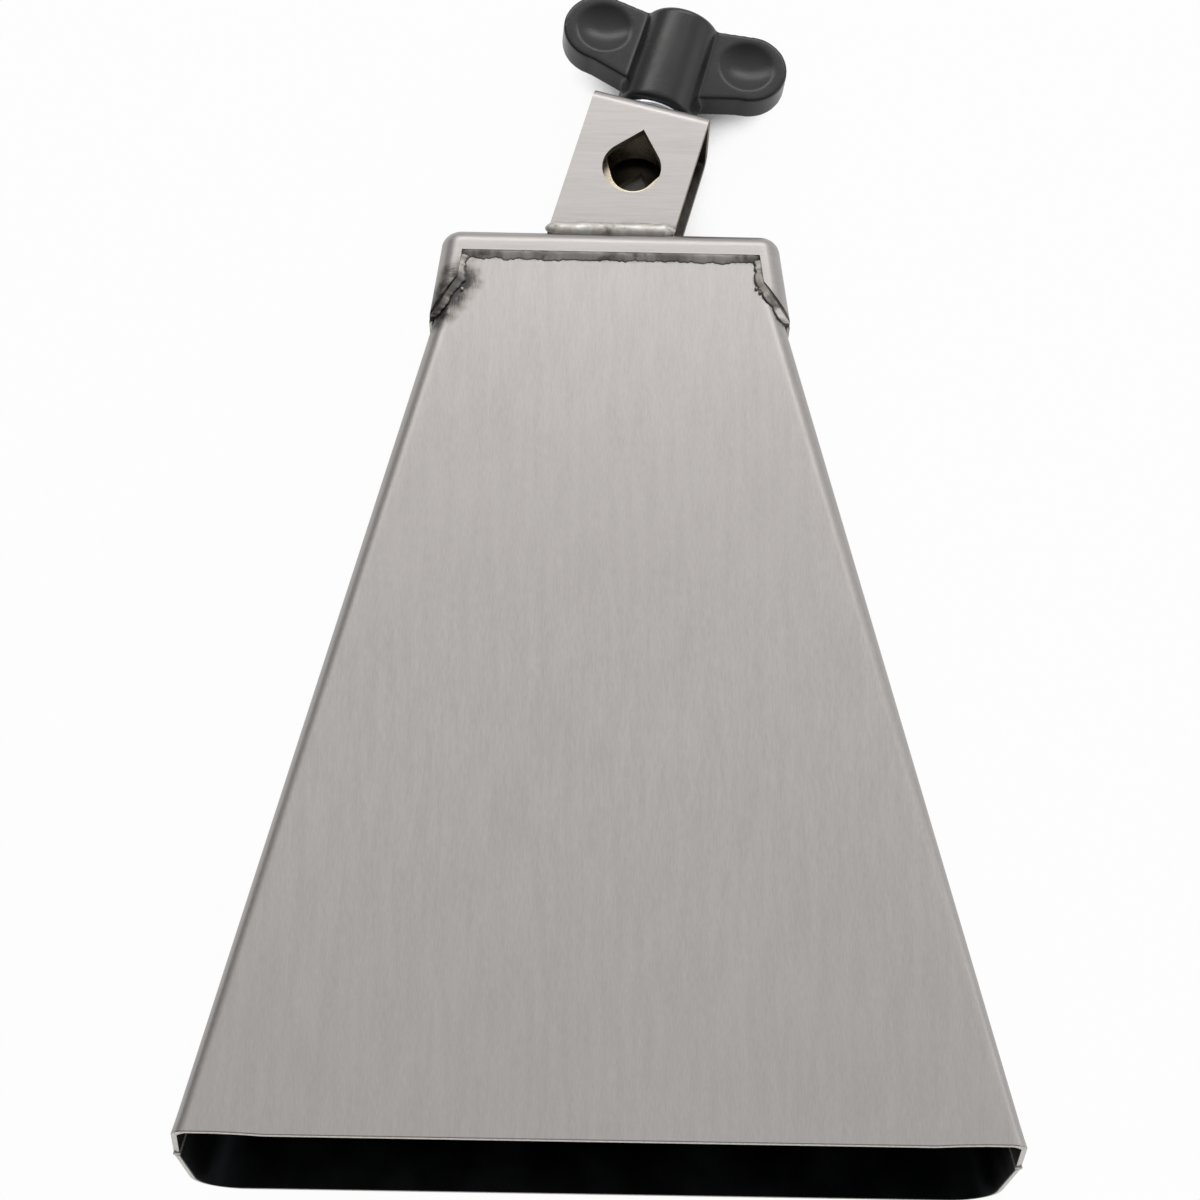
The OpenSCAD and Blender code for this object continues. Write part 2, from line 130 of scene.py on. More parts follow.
class ClampSizes(bpy.types.PropertyGroup):
    """The bracket, eye bolt and wing nut: x across the bracket, y front leg to rear leg, z up the stud"""

    bar_width: size("Bar width", 26.5, "Width of the bracket's flat bar")
    bar: size("Bar", 2, "Thickness of the bracket's flat bar")
    depth: size("Depth", 20, "Depth of the bracket over both legs")
    shift: size("Shift", 0.7, "How far the bracket stands in front of the crown's middle")
    bend: size("Bend", 3, "Outside radius of the bracket's bends")
    top: size("Top", 18.2, "Height of the bracket's top above the rod hole's centre")
    lean: FloatProperty(
        name="Lean", description="Lean of the clamp to the right", default=math.radians(15), unit="ROTATION"
    )
    hole_height: size("Hole height", 16.9, "Height of the rod hole's centre above the crown")
    hole_offset: size("Hole offset", 4.35, "Distance of the rod hole's centre from the bell's middle")
    hole: size("Hole", 6.5, "Radius of the rod hole")
    hole_tip: size("Hole tip", 10, "Height of the rod hole's point above its centre")
    stud_hole: size("Stud hole", 4.25, "Radius of the stud hole in the bracket's top")
    foot_bead: size("Foot bead", 1.6, "Radius of the weld beads at the bracket's feet")
    eye_width: size("Eye width", 19.6, "Width of the eye")
    eye_depth: size("Eye depth", 12, "Thickness of the eye")
    saddle: size("Saddle", 4.8, "Radius of the saddle that the rod lies in")
    saddle_low: size("Saddle height", -3.5, "Height of the saddle's lowest line from the rod hole's centre")
    eye_opening: size("Eye opening", 6.8, "Radius of the wide upper part of the eye's opening")
    eye_rise: size("Eye rise", 4.2, "Height of the wide part's centre above the saddle's centre")
    eye_top_wall: size("Eye top wall", 2.3, "Wall of the eye over its opening")
    eye_foot_wall: size("Eye foot wall", 4, "Wall of the eye under its saddle")
    stud: size("Stud", 4, "Radius of the stud")
    pitch: size("Pitch", 1.25, "Pitch of the stud's thread")
    stud_short: size("Stud end", 2, "How far the stud's end lies below the top of the wing nut")
    washer: size("Washer", 8.2, "Radius of the washer")
    washer_height: size("Washer height", 1, "Thickness of the washer")
    hub_height: size("Hub height", 25.6, "Height of the wing nut's hub")
    hub_foot: size("Hub foot", 9.2, "Radius of the hub at its foot")
    hub_top: size("Hub top", 8.8, "Radius of the hub at its top")
    wing: size("Wing", 8.6, "Radius of the wings' round ends")
    wing_reach: size("Wing reach", 17.4, "Distance of the round ends' centres from the stud's axis")
    wing_height: size("Wing height", 17.8, "Height of the round ends' centres above the hub's foot")
    wing_depth: size("Wing depth", 7.2, "Thickness of the wings")
    wing_root: size("Wing root", 6, "Height of the wings' lower edge above the hub's foot, at the hub")
    dish: size("Dish", 6.3, "Radius of the thumb dishes in the wings")
    dish_depth: size("Dish depth", 1.6, "Depth of the thumb dishes")
    insert: size("Insert", 5.5, "Radius of the brass insert")
    wing_turn: FloatProperty(
        name="Wing turn",
        description="Turn of the wings about the stud",
        default=math.radians(3),
        unit="ROTATION",
    )


class Finishes(bpy.types.PropertyGroup):
    """The colours of the object's finishes"""

    steel: colour("Steel", "BBB7B5", "Brushed steel sheet")
    steel_dark: colour("Steel, dark", "A5A19F", "The darker lines and clouds in the brushed sheet")
    inside: colour("Inside", "2A2B2D", "Unbrushed, oiled steel inside the bell")
    tint_straw: colour("Straw tint", "85817A", "Heat tint farthest from a weld")
    tint_soot: colour("Soot", "3C3A3B", "Burnt edge of a weld")
    bead: colour("Bead", "CFCBC4", "Raw weld bead")
    bead_painted_highlight: colour("Bead, painted highlight", "DCD9D6", "Painted highlight on the tops of a weld bead's ripples")
    zinc: colour("Zinc", "DCE1E6", "Bright zinc plating")
    passivate: colour("Passivated zinc", "D2C6B0", "Yellow passivated zinc on the eye bolt")
    nylon: colour("Nylon", "0B0B0D", "Black moulded nylon")
    brass: colour("Brass", "B5814A", "Turned brass")
    sheared: colour("Sheared edge", "A39B88", "Cut edges of sheet and bar")
    lip: colour("Lip", "DAD6D0", "The mouth's ground edge")
    floor: colour("Floor", "EDEDED", "The pale floor")


# ---- Places: the same rules as the solids follow ----


def dimensions():
    """The bell's, the cap's and the clamp's sizes."""
    scene = bpy.context.scene
    return scene.cowbell_bell, scene.cowbell_cap, scene.cowbell_clamp


def along(bell, z, low, high):
    """A size of the tapered body at height z, from its values at the mouth and at the crown."""
    return low + (high - low) * z / bell.length


def face_y(bell, z):
    return along(bell, z, 0, (bell.mouth_depth - bell.crown_depth) * bell.face_taper / 100)


def back_y(bell, z):
    setback = (bell.mouth_depth - bell.crown_depth) * bell.face_taper / 100
    return along(bell, z, bell.mouth_depth, setback + bell.crown_depth)


def half_width(bell, z):
    return along(bell, z, bell.mouth_width, bell.crown_width) / 2


def seam_half_width(bell, z):
    return half_width(bell, z) + along(bell, z, bell.side_bow, 0)


def seam_y(bell, z):
    return face_y(bell, z) + along(bell, z, bell.seam_depth, bell.seam_crown_depth)


def cap_skirt(cap):
    return cap.sheet + 2 * cap.fit


def cap_half_width(bell, cap, z):
    share = (bell.length - z) / cap.side_height
    return (cap.top_width + (cap.foot_width - cap.top_width) * share) / 2


def window_half_width(bell, cap, z):
    """Half the width of the cap's front and back openings at height z."""
    top, ear = bell.length - cap.flange_height, bell.length - cap.ear_height
    low = bell.length - cap.side_height - MM
    half = cap.window_width / 2
    if z > ear:
        return half + cap.window_flare * (top - z) / (top - ear)
    return half + cap.window_flare + (ear - z) / (ear - low) * (
        cap_half_width(bell, cap, low) + MM - half - cap.window_flare
    )


def laid(bell, cap):
    """Lays the upright bell on its back: on the mouth's rear lip and the cap's rear flange."""
    rest_z = bell.length - cap.flange_height
    tilt = math.atan((bell.mouth_depth - back_y(bell, rest_z) - cap_skirt(cap)) / rest_z)
    shift = CAD_LOW.y + bell.mouth_depth * math.sin(tilt)
    lift = bell.mouth_depth * math.cos(tilt)
    return Matrix.Translation((0, shift, lift)) @ Matrix.Rotation(-math.pi / 2 - tilt, 4, "X")


def clamp_place(bell, cap, clamp):
    """The clamp's own frame in the upright bell: its origin is the rod hole's centre in the front leg."""
    front = face_y(bell, bell.length) - cap_skirt(cap)
    y = front + (bell.crown_depth + 2 * cap_skirt(cap) - clamp.depth) / 2 - clamp.shift
    place = Matrix.Translation((clamp.hole_offset, y, bell.length + clamp.hole_height))
    return place @ Matrix.Rotation(clamp.lean, 4, "Y")


def stud_place(bell, cap, clamp):
    """The clamp's frame, moved to the stud's axis."""
    return clamp_place(bell, cap, clamp) @ Matrix.Translation((0, clamp.depth / 2, 0))


def hub_foot_z(clamp):
    return clamp.top + clamp.washer_height + 0.05 * MM


# ---- Modelling ----


def arc(centre, radius, start, end, steps):
    """Points on an arc in a plane; angles in degrees."""
    turns = [math.radians(start + (end - start) * i / steps) for i in range(steps + 1)]
    return [(centre[0] + radius * math.cos(a), centre[1] + radius * math.sin(a)) for a in turns]


def steps_between(start, end, count):
    """Points from start to end, both included, as a list of tuples."""
    return [tuple(Vector(start).lerp(Vector(end), i / count)) for i in range(count + 1)]


def steps_along(corners, step):
    """Points about a step apart along straight lines from corner to corner."""
    points = []
    for start, end in zip(corners, corners[1:]):
        count = max(1, round((end - start).length / step))
        points += [start.lerp(end, i / count) for i in range(count)]
    return points + [corners[-1]]


def draw(bm, points, closed=False):
    """Vertices along points with edges between them."""
    verts = [bm.verts.new(point) for point in points]
    ahead = verts[1:] + verts[:1] if closed else verts[1:]
    return verts, [bm.edges.new(pair) for pair in zip(verts, ahead)]


def loft(bm, sections, closed=False):
    """Extrudes the first section through the others, which have as many points; returns both end rows."""
    row, edges = draw(bm, sections[0], closed)
    first = list(row)
    for section in sections[1:]:
        made = bmesh.ops.extrude_edge_only(bm, edges=edges)["geom"]
        new = {g for g in made if isinstance(g, bmesh.types.BMVert)}
        edges = [g for g in made if isinstance(g, bmesh.types.BMEdge) and set(g.verts) <= new]
        place = {vert: i for i, vert in enumerate(row)}
        for vert in new:
            below = next(e.other_vert(vert) for e in vert.link_edges if e.other_vert(vert) in place)
            row[place[below]] = vert
        for vert, point in zip(row, section):
            vert.co = point
    return first, row


def close_end(bm, row):
    """Closes a ring of vertices with one face."""
    edges = {e for v in row for e in v.link_edges if e.is_boundary}
    bmesh.ops.edgeloop_fill(bm, edges=list(edges))


def solid_loft(bm, rings):
    """A solid through closed rings of points, shut at both ends."""
    for row in loft(bm, rings, closed=True):
        close_end(bm, row)


def face_outwards(bm, middle):
    """Turns an open sheet's faces away from a point behind it."""
    bmesh.ops.recalc_face_normals(bm, faces=bm.faces)
    outward = sum(f.normal.dot(f.calc_center_median() - Vector(middle)) * f.calc_area() for f in bm.faces)
    if outward < 0:
        bmesh.ops.reverse_faces(bm, faces=bm.faces)


def even_out(bm, passes):
    """Draws each vertex half way to the middle of its neighbours, pass after pass."""
    for _ in range(passes):
        bmesh.ops.smooth_vert(
            bm, verts=bm.verts, factor=0.5, use_axis_x=True, use_axis_y=True, use_axis_z=True
        )


def cut(bm, point, normal, **settings):
    """Cuts everything along a plane; the settings are the cut's own, such as the side that goes."""
    everything = bm.verts[:] + bm.edges[:] + bm.faces[:]
    bmesh.ops.bisect_plane(bm, geom=everything, plane_co=point, plane_no=normal, **settings)


def filled_outline(bm, loops):
    """A flat face inside the first loop of points and outside the others."""
    edges = [edge for loop in loops for edge in draw(bm, [(x, y, 0) for x, y in loop], True)[1]]
    bmesh.ops.triangle_fill(bm, edges=edges, use_beauty=True, normal=(0, 0, 1))


def spun(bm, profile, steps=64):
    """A full turn about z of a closed profile of (radius, z) points."""
    verts, edges = draw(bm, [(x, 0, z) for x, z in profile], True)
    bmesh.ops.spin(
        bm,
        geom=verts + edges,
        cent=(0, 0, 0),
        axis=(0, 0, 1),
        angle=2 * math.pi,
        steps=steps,
        use_merge=True,
    )
    bmesh.ops.remove_doubles(bm, verts=bm.verts, dist=0.001 * MM)
    bmesh.ops.recalc_face_normals(bm, faces=bm.faces)


def distance_to(point, line):
    """Distance from a point to a line through several points."""
    best = 1.0
    for start, end in zip(line, line[1:]):
        step = Vector(end) - Vector(start)
        share = max(0, min(1, (point - Vector(start)).dot(step) / step.length_squared))
        best = min(best, (point - Vector(start) - step * share).length)
    return best


def mark_scorch(bm, lines, reach):
    """Stores how close each vertex is to a weld line, from 0 at reach to 1 on the line."""
    layer = bm.verts.layers.float.new("scorch")
    for vert in bm.verts:
        near = max(
            strength * (1 - distance_to(vert.co, line) / (reach * strength)) for line, strength in lines
        )
        vert[layer] = max(0, near)


def weld_bead(bm, path, out, radius, seed, wander=0.2, lumpy=1.0):
    """A weld bead along path, lying on a surface that faces out, with the ripples of its making."""
    ripple, step = 1.3 * MM, 0.28 * MM
    points = steps_along([Vector(point) for point in path], step)
    length = step * (len(points) - 1)
    rings = []
    for i, point in enumerate(points):
        s = i * step
        tangent = (points[min(i + 3, len(points) - 1)] - points[max(i - 3, 0)]).normalized()
        side = tangent.cross(Vector(out)).normalized()
        up = side.cross(tangent).normalized()
        drift = noise.noise((s / (3 * MM), seed, 0.5))
        lump = 1 + lumpy * 0.38 * noise.noise((s / (2.1 * MM), seed, 7.5))
        lump += lumpy * 0.1 * abs(math.sin(math.pi * s / ripple))
        end_share = min(s, length - s) / (1.5 * radius)
        thick = radius * lump * math.sqrt(max(0.02, min(1, end_share)))
        middle = point + side * drift * radius * wander
        ring = []
        for x, y in arc((0, 0), thick, 0, 324, 9):
            corner = middle + side * x * 1.1 + up * y * 0.8
            rough = noise.noise(corner / (0.9 * MM) + Vector((seed, 0, 0)))
            ring.append(corner + (corner - middle) * rough * 0.22 * lumpy)
        rings.append(ring)
    solid_loft(bm, rings)


def add_piece(bm, node, body, finishes, place=Matrix()):
    """Makes the piece that replaces a node, with its place in the upright bell put into its mesh."""
    bell, cap, _ = dimensions()
    bmesh.ops.transform(bm, matrix=laid(bell, cap) @ place, verts=bm.verts)
    name = node.capitalize()
    mesh = bpy.data.meshes.new(name)
    bm.to_mesh(mesh)
    bm.free()
    mesh.shade_smooth()
    piece = bpy.data.objects.new(name, mesh)
    bpy.context.scene.collection.objects.link(piece)
    for finish in finishes:
        mesh.materials.append(FINISH[finish])
    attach(piece, body)
    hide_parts(node)
    return piece


def thicken(piece, thickness, inner_material=0, rim_material=0):
    """Gives a sheet its thickness, inwards."""
    solid = piece.modifiers.new("Sheet thickness", "SOLIDIFY")
    solid.thickness = thickness
    solid.offset = -1
    solid.use_even_offset = True
    solid.material_offset = inner_material
    solid.material_offset_rim = rim_material


def round_edges(piece, width, segments=3, angle=40):
    """Rounds the edges that are sharper than angle, in degrees."""
    bevel = piece.modifiers.new("Rounded edges", "BEVEL")
    bevel.width = width
    bevel.segments = segments
    bevel.limit_method = "ANGLE"
    bevel.angle_limit = math.radians(angle)
    bevel.harden_normals = True


# ---- Finishes ----


SMOOTH = {"interpolation_type": "SMOOTHSTEP"}
COLOURS = {"data_type": "RGBA"}


def add_node(tree, kind, inputs=None, **settings):
    """Adds a shader node; inputs are values, sockets, or nodes, whose first output is taken."""
    made = tree.nodes.new("ShaderNode" + kind)
    for key, value in settings.items():
        setattr(made, key, value)
    for name, value in (inputs or {}).items():
        if isinstance(value, bpy.types.Node):
            value = value.outputs[0]
        if isinstance(value, bpy.types.NodeSocket):
            tree.links.new(value, made.inputs[name])
        else:
            made.inputs[name].default_value = value
    return made


def new_material(name):
    """An empty node material and its tree."""
    material = bpy.data.materials.new(name)
    material.use_nodes = True
    material.node_tree.nodes.clear()
    return material, material.node_tree


def opaque(rgb, light=1):
    return (*(c * light for c in rgb), 1)


def brushed_steel(name, turn=0.0, grain=0.24, streak=110, across=False, light=1.0):
    """Steel sheet brushed with a belt: long parallel scratches that spread the light to both sides.

    grain is the scratches' spacing in mm, drawn coarser than the real 0.1 mm so that it shows,
    and streak their length in mm. Heat tint and soot follow the piece's own scorch attribute. light scales
    the steel's colour: above 1 it makes a painted lighter copy, below 1 a painted shaded copy."""
    finish = bpy.context.scene.cowbell_finishes
    material, tree = new_material(name)
    place = add_node(tree, "TexCoord").outputs["Object"]
    fine, long = 1 / (grain * MM), 1 / (streak * MM)
    stretch = (long, fine, fine) if across else (fine, long, fine)
    lines = add_node(tree, "Mapping", {"Vector": place, "Rotation": (0, 0, turn), "Scale": stretch})
    hair = add_node(tree, "TexNoise", {"Vector": lines, "Scale": 1, "Detail": 3, "Roughness": 0.65})
    wide = add_node(tree, "Mapping", {"Vector": lines, "Scale": (0.12, 0.12, 0.12)})
    bands = add_node(tree, "TexNoise", {"Vector": wide, "Scale": 1, "Detail": 2})
    cloud = add_node(tree, "TexNoise", {"Vector": place, "Scale": 1 / (38 * MM), "Detail": 2})
    hair_share = add_node(tree, "MapRange", {0: hair, 1: 0.28, 2: 0.72}, **SMOOTH)
    band_share = add_node(tree, "MapRange", {0: bands, 1: 0.3, 2: 0.7}, **SMOOTH)
    both = add_node(tree, "Math", {0: hair_share, 1: 0.45}, operation="MULTIPLY")
    both = add_node(tree, "Math", {0: band_share, 1: 0.2, 2: both}, operation="MULTIPLY_ADD")
    both = add_node(tree, "Math", {0: cloud, 1: 0.2, 2: both}, operation="MULTIPLY_ADD")
    # light above 1 paints a lighter copy of the steel, below 1 a painted shaded copy.
    low, high = opaque(finish.steel_dark, light), opaque(finish.steel, light)
    steel = add_node(tree, "Mix", {0: both, 6: low, 7: high}, **COLOURS).outputs[2]

    heat = add_node(tree, "Attribute", attribute_name="scorch").outputs["Fac"]
    patchy = add_node(tree, "TexNoise", {"Vector": place, "Scale": 1 / (2.4 * MM), "Detail": 4})
    smoke = add_node(tree, "MapRange", {0: patchy, 1: 0.3, 2: 0.7, 3: -0.14, 4: 0.14}, **SMOOTH)
    uneven = add_node(tree, "Math", {0: hair_share, 1: 0.18, 2: smoke}, operation="MULTIPLY_ADD")
    wide_burn = add_node(tree, "MapRange", {0: heat, 1: 0.0, 2: 0.3}, **SMOOTH)
    warm = add_node(tree, "Math", {0: uneven, 1: wide_burn, 2: heat}, operation="MULTIPLY_ADD")
    tint = add_node(tree, "MapRange", {0: warm, 1: 0.1, 2: 0.6, 4: 0.8}, **SMOOTH)
    straw = add_node(tree, "Mix", {0: tint, 6: steel, 7: opaque(finish.tint_straw)}, **COLOURS).outputs[2]
    burnt = add_node(tree, "MapRange", {0: warm, 1: 0.45, 2: 0.95, 4: 0.94}, **SMOOTH)
    base = add_node(tree, "Mix", {0: burnt, 6: straw, 7: opaque(finish.tint_soot)}, **COLOURS).outputs[2]

    rough = add_node(tree, "MapRange", {0: hair, 1: 0.2, 2: 0.8, 3: 0.3, 4: 0.42}, **SMOOTH)
    bump = add_node(tree, "Bump", {"Strength": 0.35, "Distance": 0.02 * MM, "Height": hair})
    look = {"Base Color": base, "Metallic": 1.0, "Roughness": rough, "Normal": bump}
    add_node(tree, "OutputMaterial", {0: add_node(tree, "BsdfPrincipled", look)})
    return material


def clouded_metal(name, tint, dark, grain, detail, spread, rough, relief):
    """Metal whose colour, shine and relief follow one noise; rough is one value or a range."""
    material, tree = new_material(name)
    place = add_node(tree, "TexCoord").outputs["Object"]
    cloud = add_node(tree, "TexNoise", {"Vector": place, "Scale": 1 / grain, "Detail": detail})
    share = add_node(tree, "MapRange", {0: cloud, 1: 0.35, 2: spread}, **SMOOTH)
    base = add_node(tree, "Mix", {0: share, 6: opaque(tint, dark), 7: opaque(tint)}, **COLOURS).outputs[2]
    if isinstance(rough, tuple):
        rough = add_node(tree, "MapRange", {0: cloud, 1: 0.3, 2: 0.7, 3: rough[0], 4: rough[1]}, **SMOOTH)
    strength, height = relief
    bump = add_node(tree, "Bump", {"Strength": strength, "Distance": height, "Height": cloud})
    look = {"Base Color": base, "Metallic": 1.0, "Roughness": rough, "Normal": bump}
    add_node(tree, "OutputMaterial", {0: add_node(tree, "BsdfPrincipled", look)})
    return material


def oiled_steel(tint):
    """Unbrushed steel inside the bell: dark mill scale with a thin film of oil, nearly black to the eye."""
    return clouded_metal("Oiled mill steel", tint, 0.5, 14 * MM, 4, 0.7, (0.28, 0.45), (0.3, 0.05 * MM))


def cut_edge(name, tint, rough):
    """The cut edge of sheet: short bright drag lines through its thickness, duller than the brushed faces."""
    return clouded_metal(name, tint, 0.75, 0.6 * MM, 3, 0.65, rough, (0.3, 0.03 * MM))


def zinc_plate(name, tint):
    """Electroplated zinc: smooth, slightly cloudy metal with a thin passivated colour."""
    return clouded_metal(name, tint, 0.72, 2.5 * MM, 4, 0.7, (0.2, 0.34), (0.25, 0.03 * MM))


def turned_brass(tint):
    """Brass from a lathe: fine turning marks, warm and bright."""
    return clouded_metal("Turned brass", tint, 0.7, 0.5 * MM, 3, 0.65, 0.28, (0.3, 0.03 * MM))


def weld_metal(name, bright, warm):
    """A raw weld bead: frozen ripples over grey metal, their tops painted lighter as a painted highlight,
    with burnt pits and straw heat tint.
    """
    finish = bpy.context.scene.cowbell_finishes
    material, tree = new_material(name)
    place = add_node(tree, "TexCoord").outputs["Object"]
    lumps_and_painted_glints = add_node(tree, "TexNoise", {"Vector": place, "Scale": 1 / (1.6 * MM), "Detail": 4})
    pits = add_node(tree, "TexNoise", {"Vector": place, "Scale": 1 / (3.1 * MM), "Detail": 3})
    zones = add_node(tree, "TexNoise", {"Vector": place, "Scale": 1 / (9 * MM), "Detail": 1})
    scorch = add_node(tree, "Attribute", attribute_name="scorch").outputs["Fac"]
    base = opaque(finish.bead)
    # The first mix is a painted highlight: the bump's own noise lightens the ripples' tops, by the share
    # bright.
    for guide, low, high, most, tint in (
        (lumps_and_painted_glints, 0.42, 0.62, bright, finish.bead_painted_highlight),
        (zones, 0.45, 0.65, warm, finish.tint_straw),
        (pits, 0.55, 0.7, 0.5, finish.tint_soot),
        (scorch, 0.65, 1.15, 0.9, finish.tint_soot),
    ):
        share = add_node(tree, "MapRange", {0: guide, 1: low, 2: high, 4: most}, **SMOOTH)
        base = add_node(tree, "Mix", {0: share, 6: base, 7: opaque(tint)}, **COLOURS).outputs[2]
    rough = add_node(tree, "MapRange", {0: pits, 1: 0.4, 2: 0.65, 3: 0.45, 4: 0.65}, **SMOOTH)
    bump = add_node(tree, "Bump", {"Strength": 0.5, "Distance": 0.12 * MM, "Height": lumps_and_painted_glints})
    look = {"Base Color": base, "Metallic": 1.0, "Roughness": rough, "Normal": bump}
    add_node(tree, "OutputMaterial", {0: add_node(tree, "BsdfPrincipled", look)})
    return material


def moulded_nylon(tint):
    """Glass-filled nylon, injection moulded: satin black with the fine grain of a sparked mould."""
    material, tree = new_material("Moulded nylon")
    place = add_node(tree, "TexCoord").outputs["Object"]
    grain = add_node(tree, "TexNoise", {"Vector": place, "Scale": 1 / (0.32 * MM), "Detail": 2})
    rub = add_node(tree, "TexNoise", {"Vector": place, "Scale": 1 / (6 * MM), "Detail": 3})
    worn = add_node(tree, "MapRange", {0: rub, 1: 0.5, 2: 0.75}, **SMOOTH)
    base = add_node(tree, "Mix", {0: worn, 6: opaque(tint), 7: opaque(tint, 1.7)}, **COLOURS).outputs[2]
    rough = add_node(tree, "MapRange", {0: rub, 1: 0.3, 2: 0.7, 3: 0.2, 4: 0.28}, **SMOOTH)
    bump = add_node(tree, "Bump", {"Strength": 0.6, "Distance": 0.05 * MM, "Height": grain})
    look = {"Base Color": base, "Roughness": rough, "IOR": 1.53, "Normal": bump}
    add_node(tree, "OutputMaterial", {0: add_node(tree, "BsdfPrincipled", look)})
    return material


def studio_floor():
    """White card: white wherever it lies open; where the object closes it in, as under the clamp, its white
    glow is dimmed by ambient occlusion as a painted contact shadow.
    """
    finish = bpy.context.scene.cowbell_finishes
    material, tree = new_material("White card")
    card = add_node(tree, "BsdfDiffuse", {"Color": opaque(finish.floor)})
    contact_shade = add_node(tree, "AmbientOcclusion", {"Distance": 45 * MM}, samples=12).outputs["AO"]
    path = add_node(tree, "LightPath").outputs
    # Painted contact shadow: the card's glow dims with ambient occlusion, near for the camera and far in
    # reflections.
    near = add_node(tree, "MapRange", {0: contact_shade, 1: 0.18, 2: 0.42}, **SMOOTH)
    far = add_node(tree, "MapRange", {0: contact_shade, 1: 0.2, 2: 1.0, 4: 0.8}, **SMOOTH)
    rays = {0: path["Is Glossy Ray"], 1: path["Is Transmission Ray"]}
    mirrored = add_node(tree, "Math", rays, operation="MAXIMUM")
    seen = add_node(tree, "Math", {0: path["Is Camera Ray"], 1: near}, operation="MULTIPLY")
    seen = add_node(tree, "Math", {0: mirrored, 1: far, 2: seen}, operation="MULTIPLY_ADD")
    share = add_node(tree, "Math", {0: seen, 1: 0.97}, operation="MULTIPLY")
    white = add_node(tree, "Emission", {"Color": (1, 1, 1, 1), "Strength": 1.0})
    add_node(tree, "OutputMaterial", {0: add_node(tree, "MixShader", {0: share, 1: card, 2: white})})
    return material


def studio_world():
    """A white room for the camera; what shows in the object is white behind it, dim before it."""
    world = bpy.data.worlds.new("Studio")
    world.use_nodes = True
    tree = world.node_tree
    tree.nodes.clear()
    towards = add_node(tree, "TexCoord").outputs["Generated"]
    part = add_node(tree, "SeparateXYZ", {0: towards}).outputs
    room = add_node(tree, "MapRange", {0: part["Y"], 1: -0.45, 2: 0.55, 3: 0.28, 4: 0.95}, **SMOOTH)
    horizon = add_node(tree, "MapRange", {0: part["Z"], 1: 0.0, 2: 0.4, 3: 0.6}, **SMOOTH)
    leftward = add_node(tree, "MapRange", {0: part["X"], 1: -0.95, 2: -0.15, 3: 0.35}, **SMOOTH)
    path = add_node(tree, "LightPath").outputs
    rays = {0: path["Is Glossy Ray"], 1: path["Is Transmission Ray"]}
    mirrored = add_node(tree, "Math", rays, operation="MAXIMUM")
    fill = add_node(tree, "MapRange", {0: mirrored, 3: 0.85}, **SMOOTH)
    for share in (horizon, leftward, fill):
        room = add_node(tree, "Math", {0: room, 1: share}, operation="MULTIPLY")
    level = add_node(tree, "Math", {0: path["Is Camera Ray"], 1: room}, operation="MAXIMUM")
    sky = add_node(tree, "Background", {"Color": (1, 1, 1, 1), "Strength": level})
    add_node(tree, "OutputWorld", {0: sky})
    return world


# ---- The body ----


def half_section(bell, z, front):
    """Right half of a shell's outer line at height z, from the seam to the middle of its flat side."""
    turn = -1 if front else 1
    flat = face_y(bell, z) if front else back_y(bell, z)
    bend = along(bell, z, bell.face_bend if front else bell.back_bend, bell.crown_bend)
    wall = half_width(bell, z)
    seam = (seam_half_width(bell, z), seam_y(bell, z) + turn * bell.seam_width / 2)
    side = steps_between(seam, (wall, flat - turn * bend), 5)
    corner = arc((wall - bend, flat - turn * bend), bend, 0, turn * 90, 12)
    face = steps_between((wall - bend, flat), (0, flat), 16)
    return side[:-1] + corner + face[1:]


def shell_section(bell, z, front):
    """A shell's whole outer line at height z, with the slow waves of the sheet."""
    right = half_section(bell, z, front)
    whole = right + [(-x, y) for x, y in reversed(right[:-1])]
    points = []
    for x, y in whole:
        inner = max(0, min(1, (half_width(bell, z) - abs(x)) / (12 * MM)))
        start = max(0, min(1, z / (15 * MM)))
        wave = 0.5 + 0.5 * noise.noise((x / (30 * MM), z / (45 * MM), 3.0 if front else 9.0))
        sag = bell.sheet_wave * wave * inner * start
        lift = 0
        if front:
            corner = max(0, min(1, (abs(x) - 64 * MM) / (6 * MM)))
            lift = bell.lip_lift * corner * max(0, 1 - z / (4 * MM))
        points.append((x, y + sag if front else y - sag, z + lift))
    return points


def add_shell(front):
    """One half of the body, bent from sheet."""
    bell, cap, _ = dimensions()
    top = bell.length - cap.edge
    heights = [0.08 * MM, 1 * MM, 2.5 * MM, 5 * MM, 9 * MM]
    while heights[-1] < top - 26 * MM:
        heights.append(heights[-1] + 6 * MM)
    heights += [top - 20 * MM + i * 20 * MM / 16 for i in range(17)]
    bm = bmesh.new()
    loft(bm, [shell_section(bell, z, front) for z in heights])
    face_outwards(bm, (0, bell.mouth_depth / 2, bell.length / 2))
    mark_scorch(bm, cap_weld_lines(bell, cap, front), 5 * MM)
    node = "front_shell" if front else "rear_shell"
    piece = add_piece(bm, node, "bell", ["body", "inside", "lip"])
    thicken(piece, bell.sheet, 1, 2)
    round_edges(piece, 0.25 * MM)


def add_seam_welds():
    """The weld along each side seam, ground nearly flush."""
    bell, cap, _ = dimensions()
    bm = bmesh.new()
    rows = 90
    for side in (-1, 1):
        rings = []
        for i in range(rows + 1):
            z = (bell.length - cap.edge) * i / rows
            x, y, g = seam_half_width(bell, z), seam_y(bell, z), bell.seam_width / 2 - 0.05 * MM
            proud = 0.06 * MM * (1 + noise.noise((z / (5 * MM), side, 0)))
            deep = x - bell.sheet - 0.1 * MM
            ring = [(deep, y + g), (x, y + g), (x + proud, y + g * 0.5), (x + proud, y - g * 0.5), (x, y - g)]
            rings.append([(side * px, py, z) for px, py in ring + [(deep, y - g)]])
        solid_loft(bm, rings)
    bmesh.ops.recalc_face_normals(bm, faces=bm.faces)
    piece = add_piece(bm, "side_seam_welds", "bell", ["body"])
    round_edges(piece, 0.05 * MM, 1)


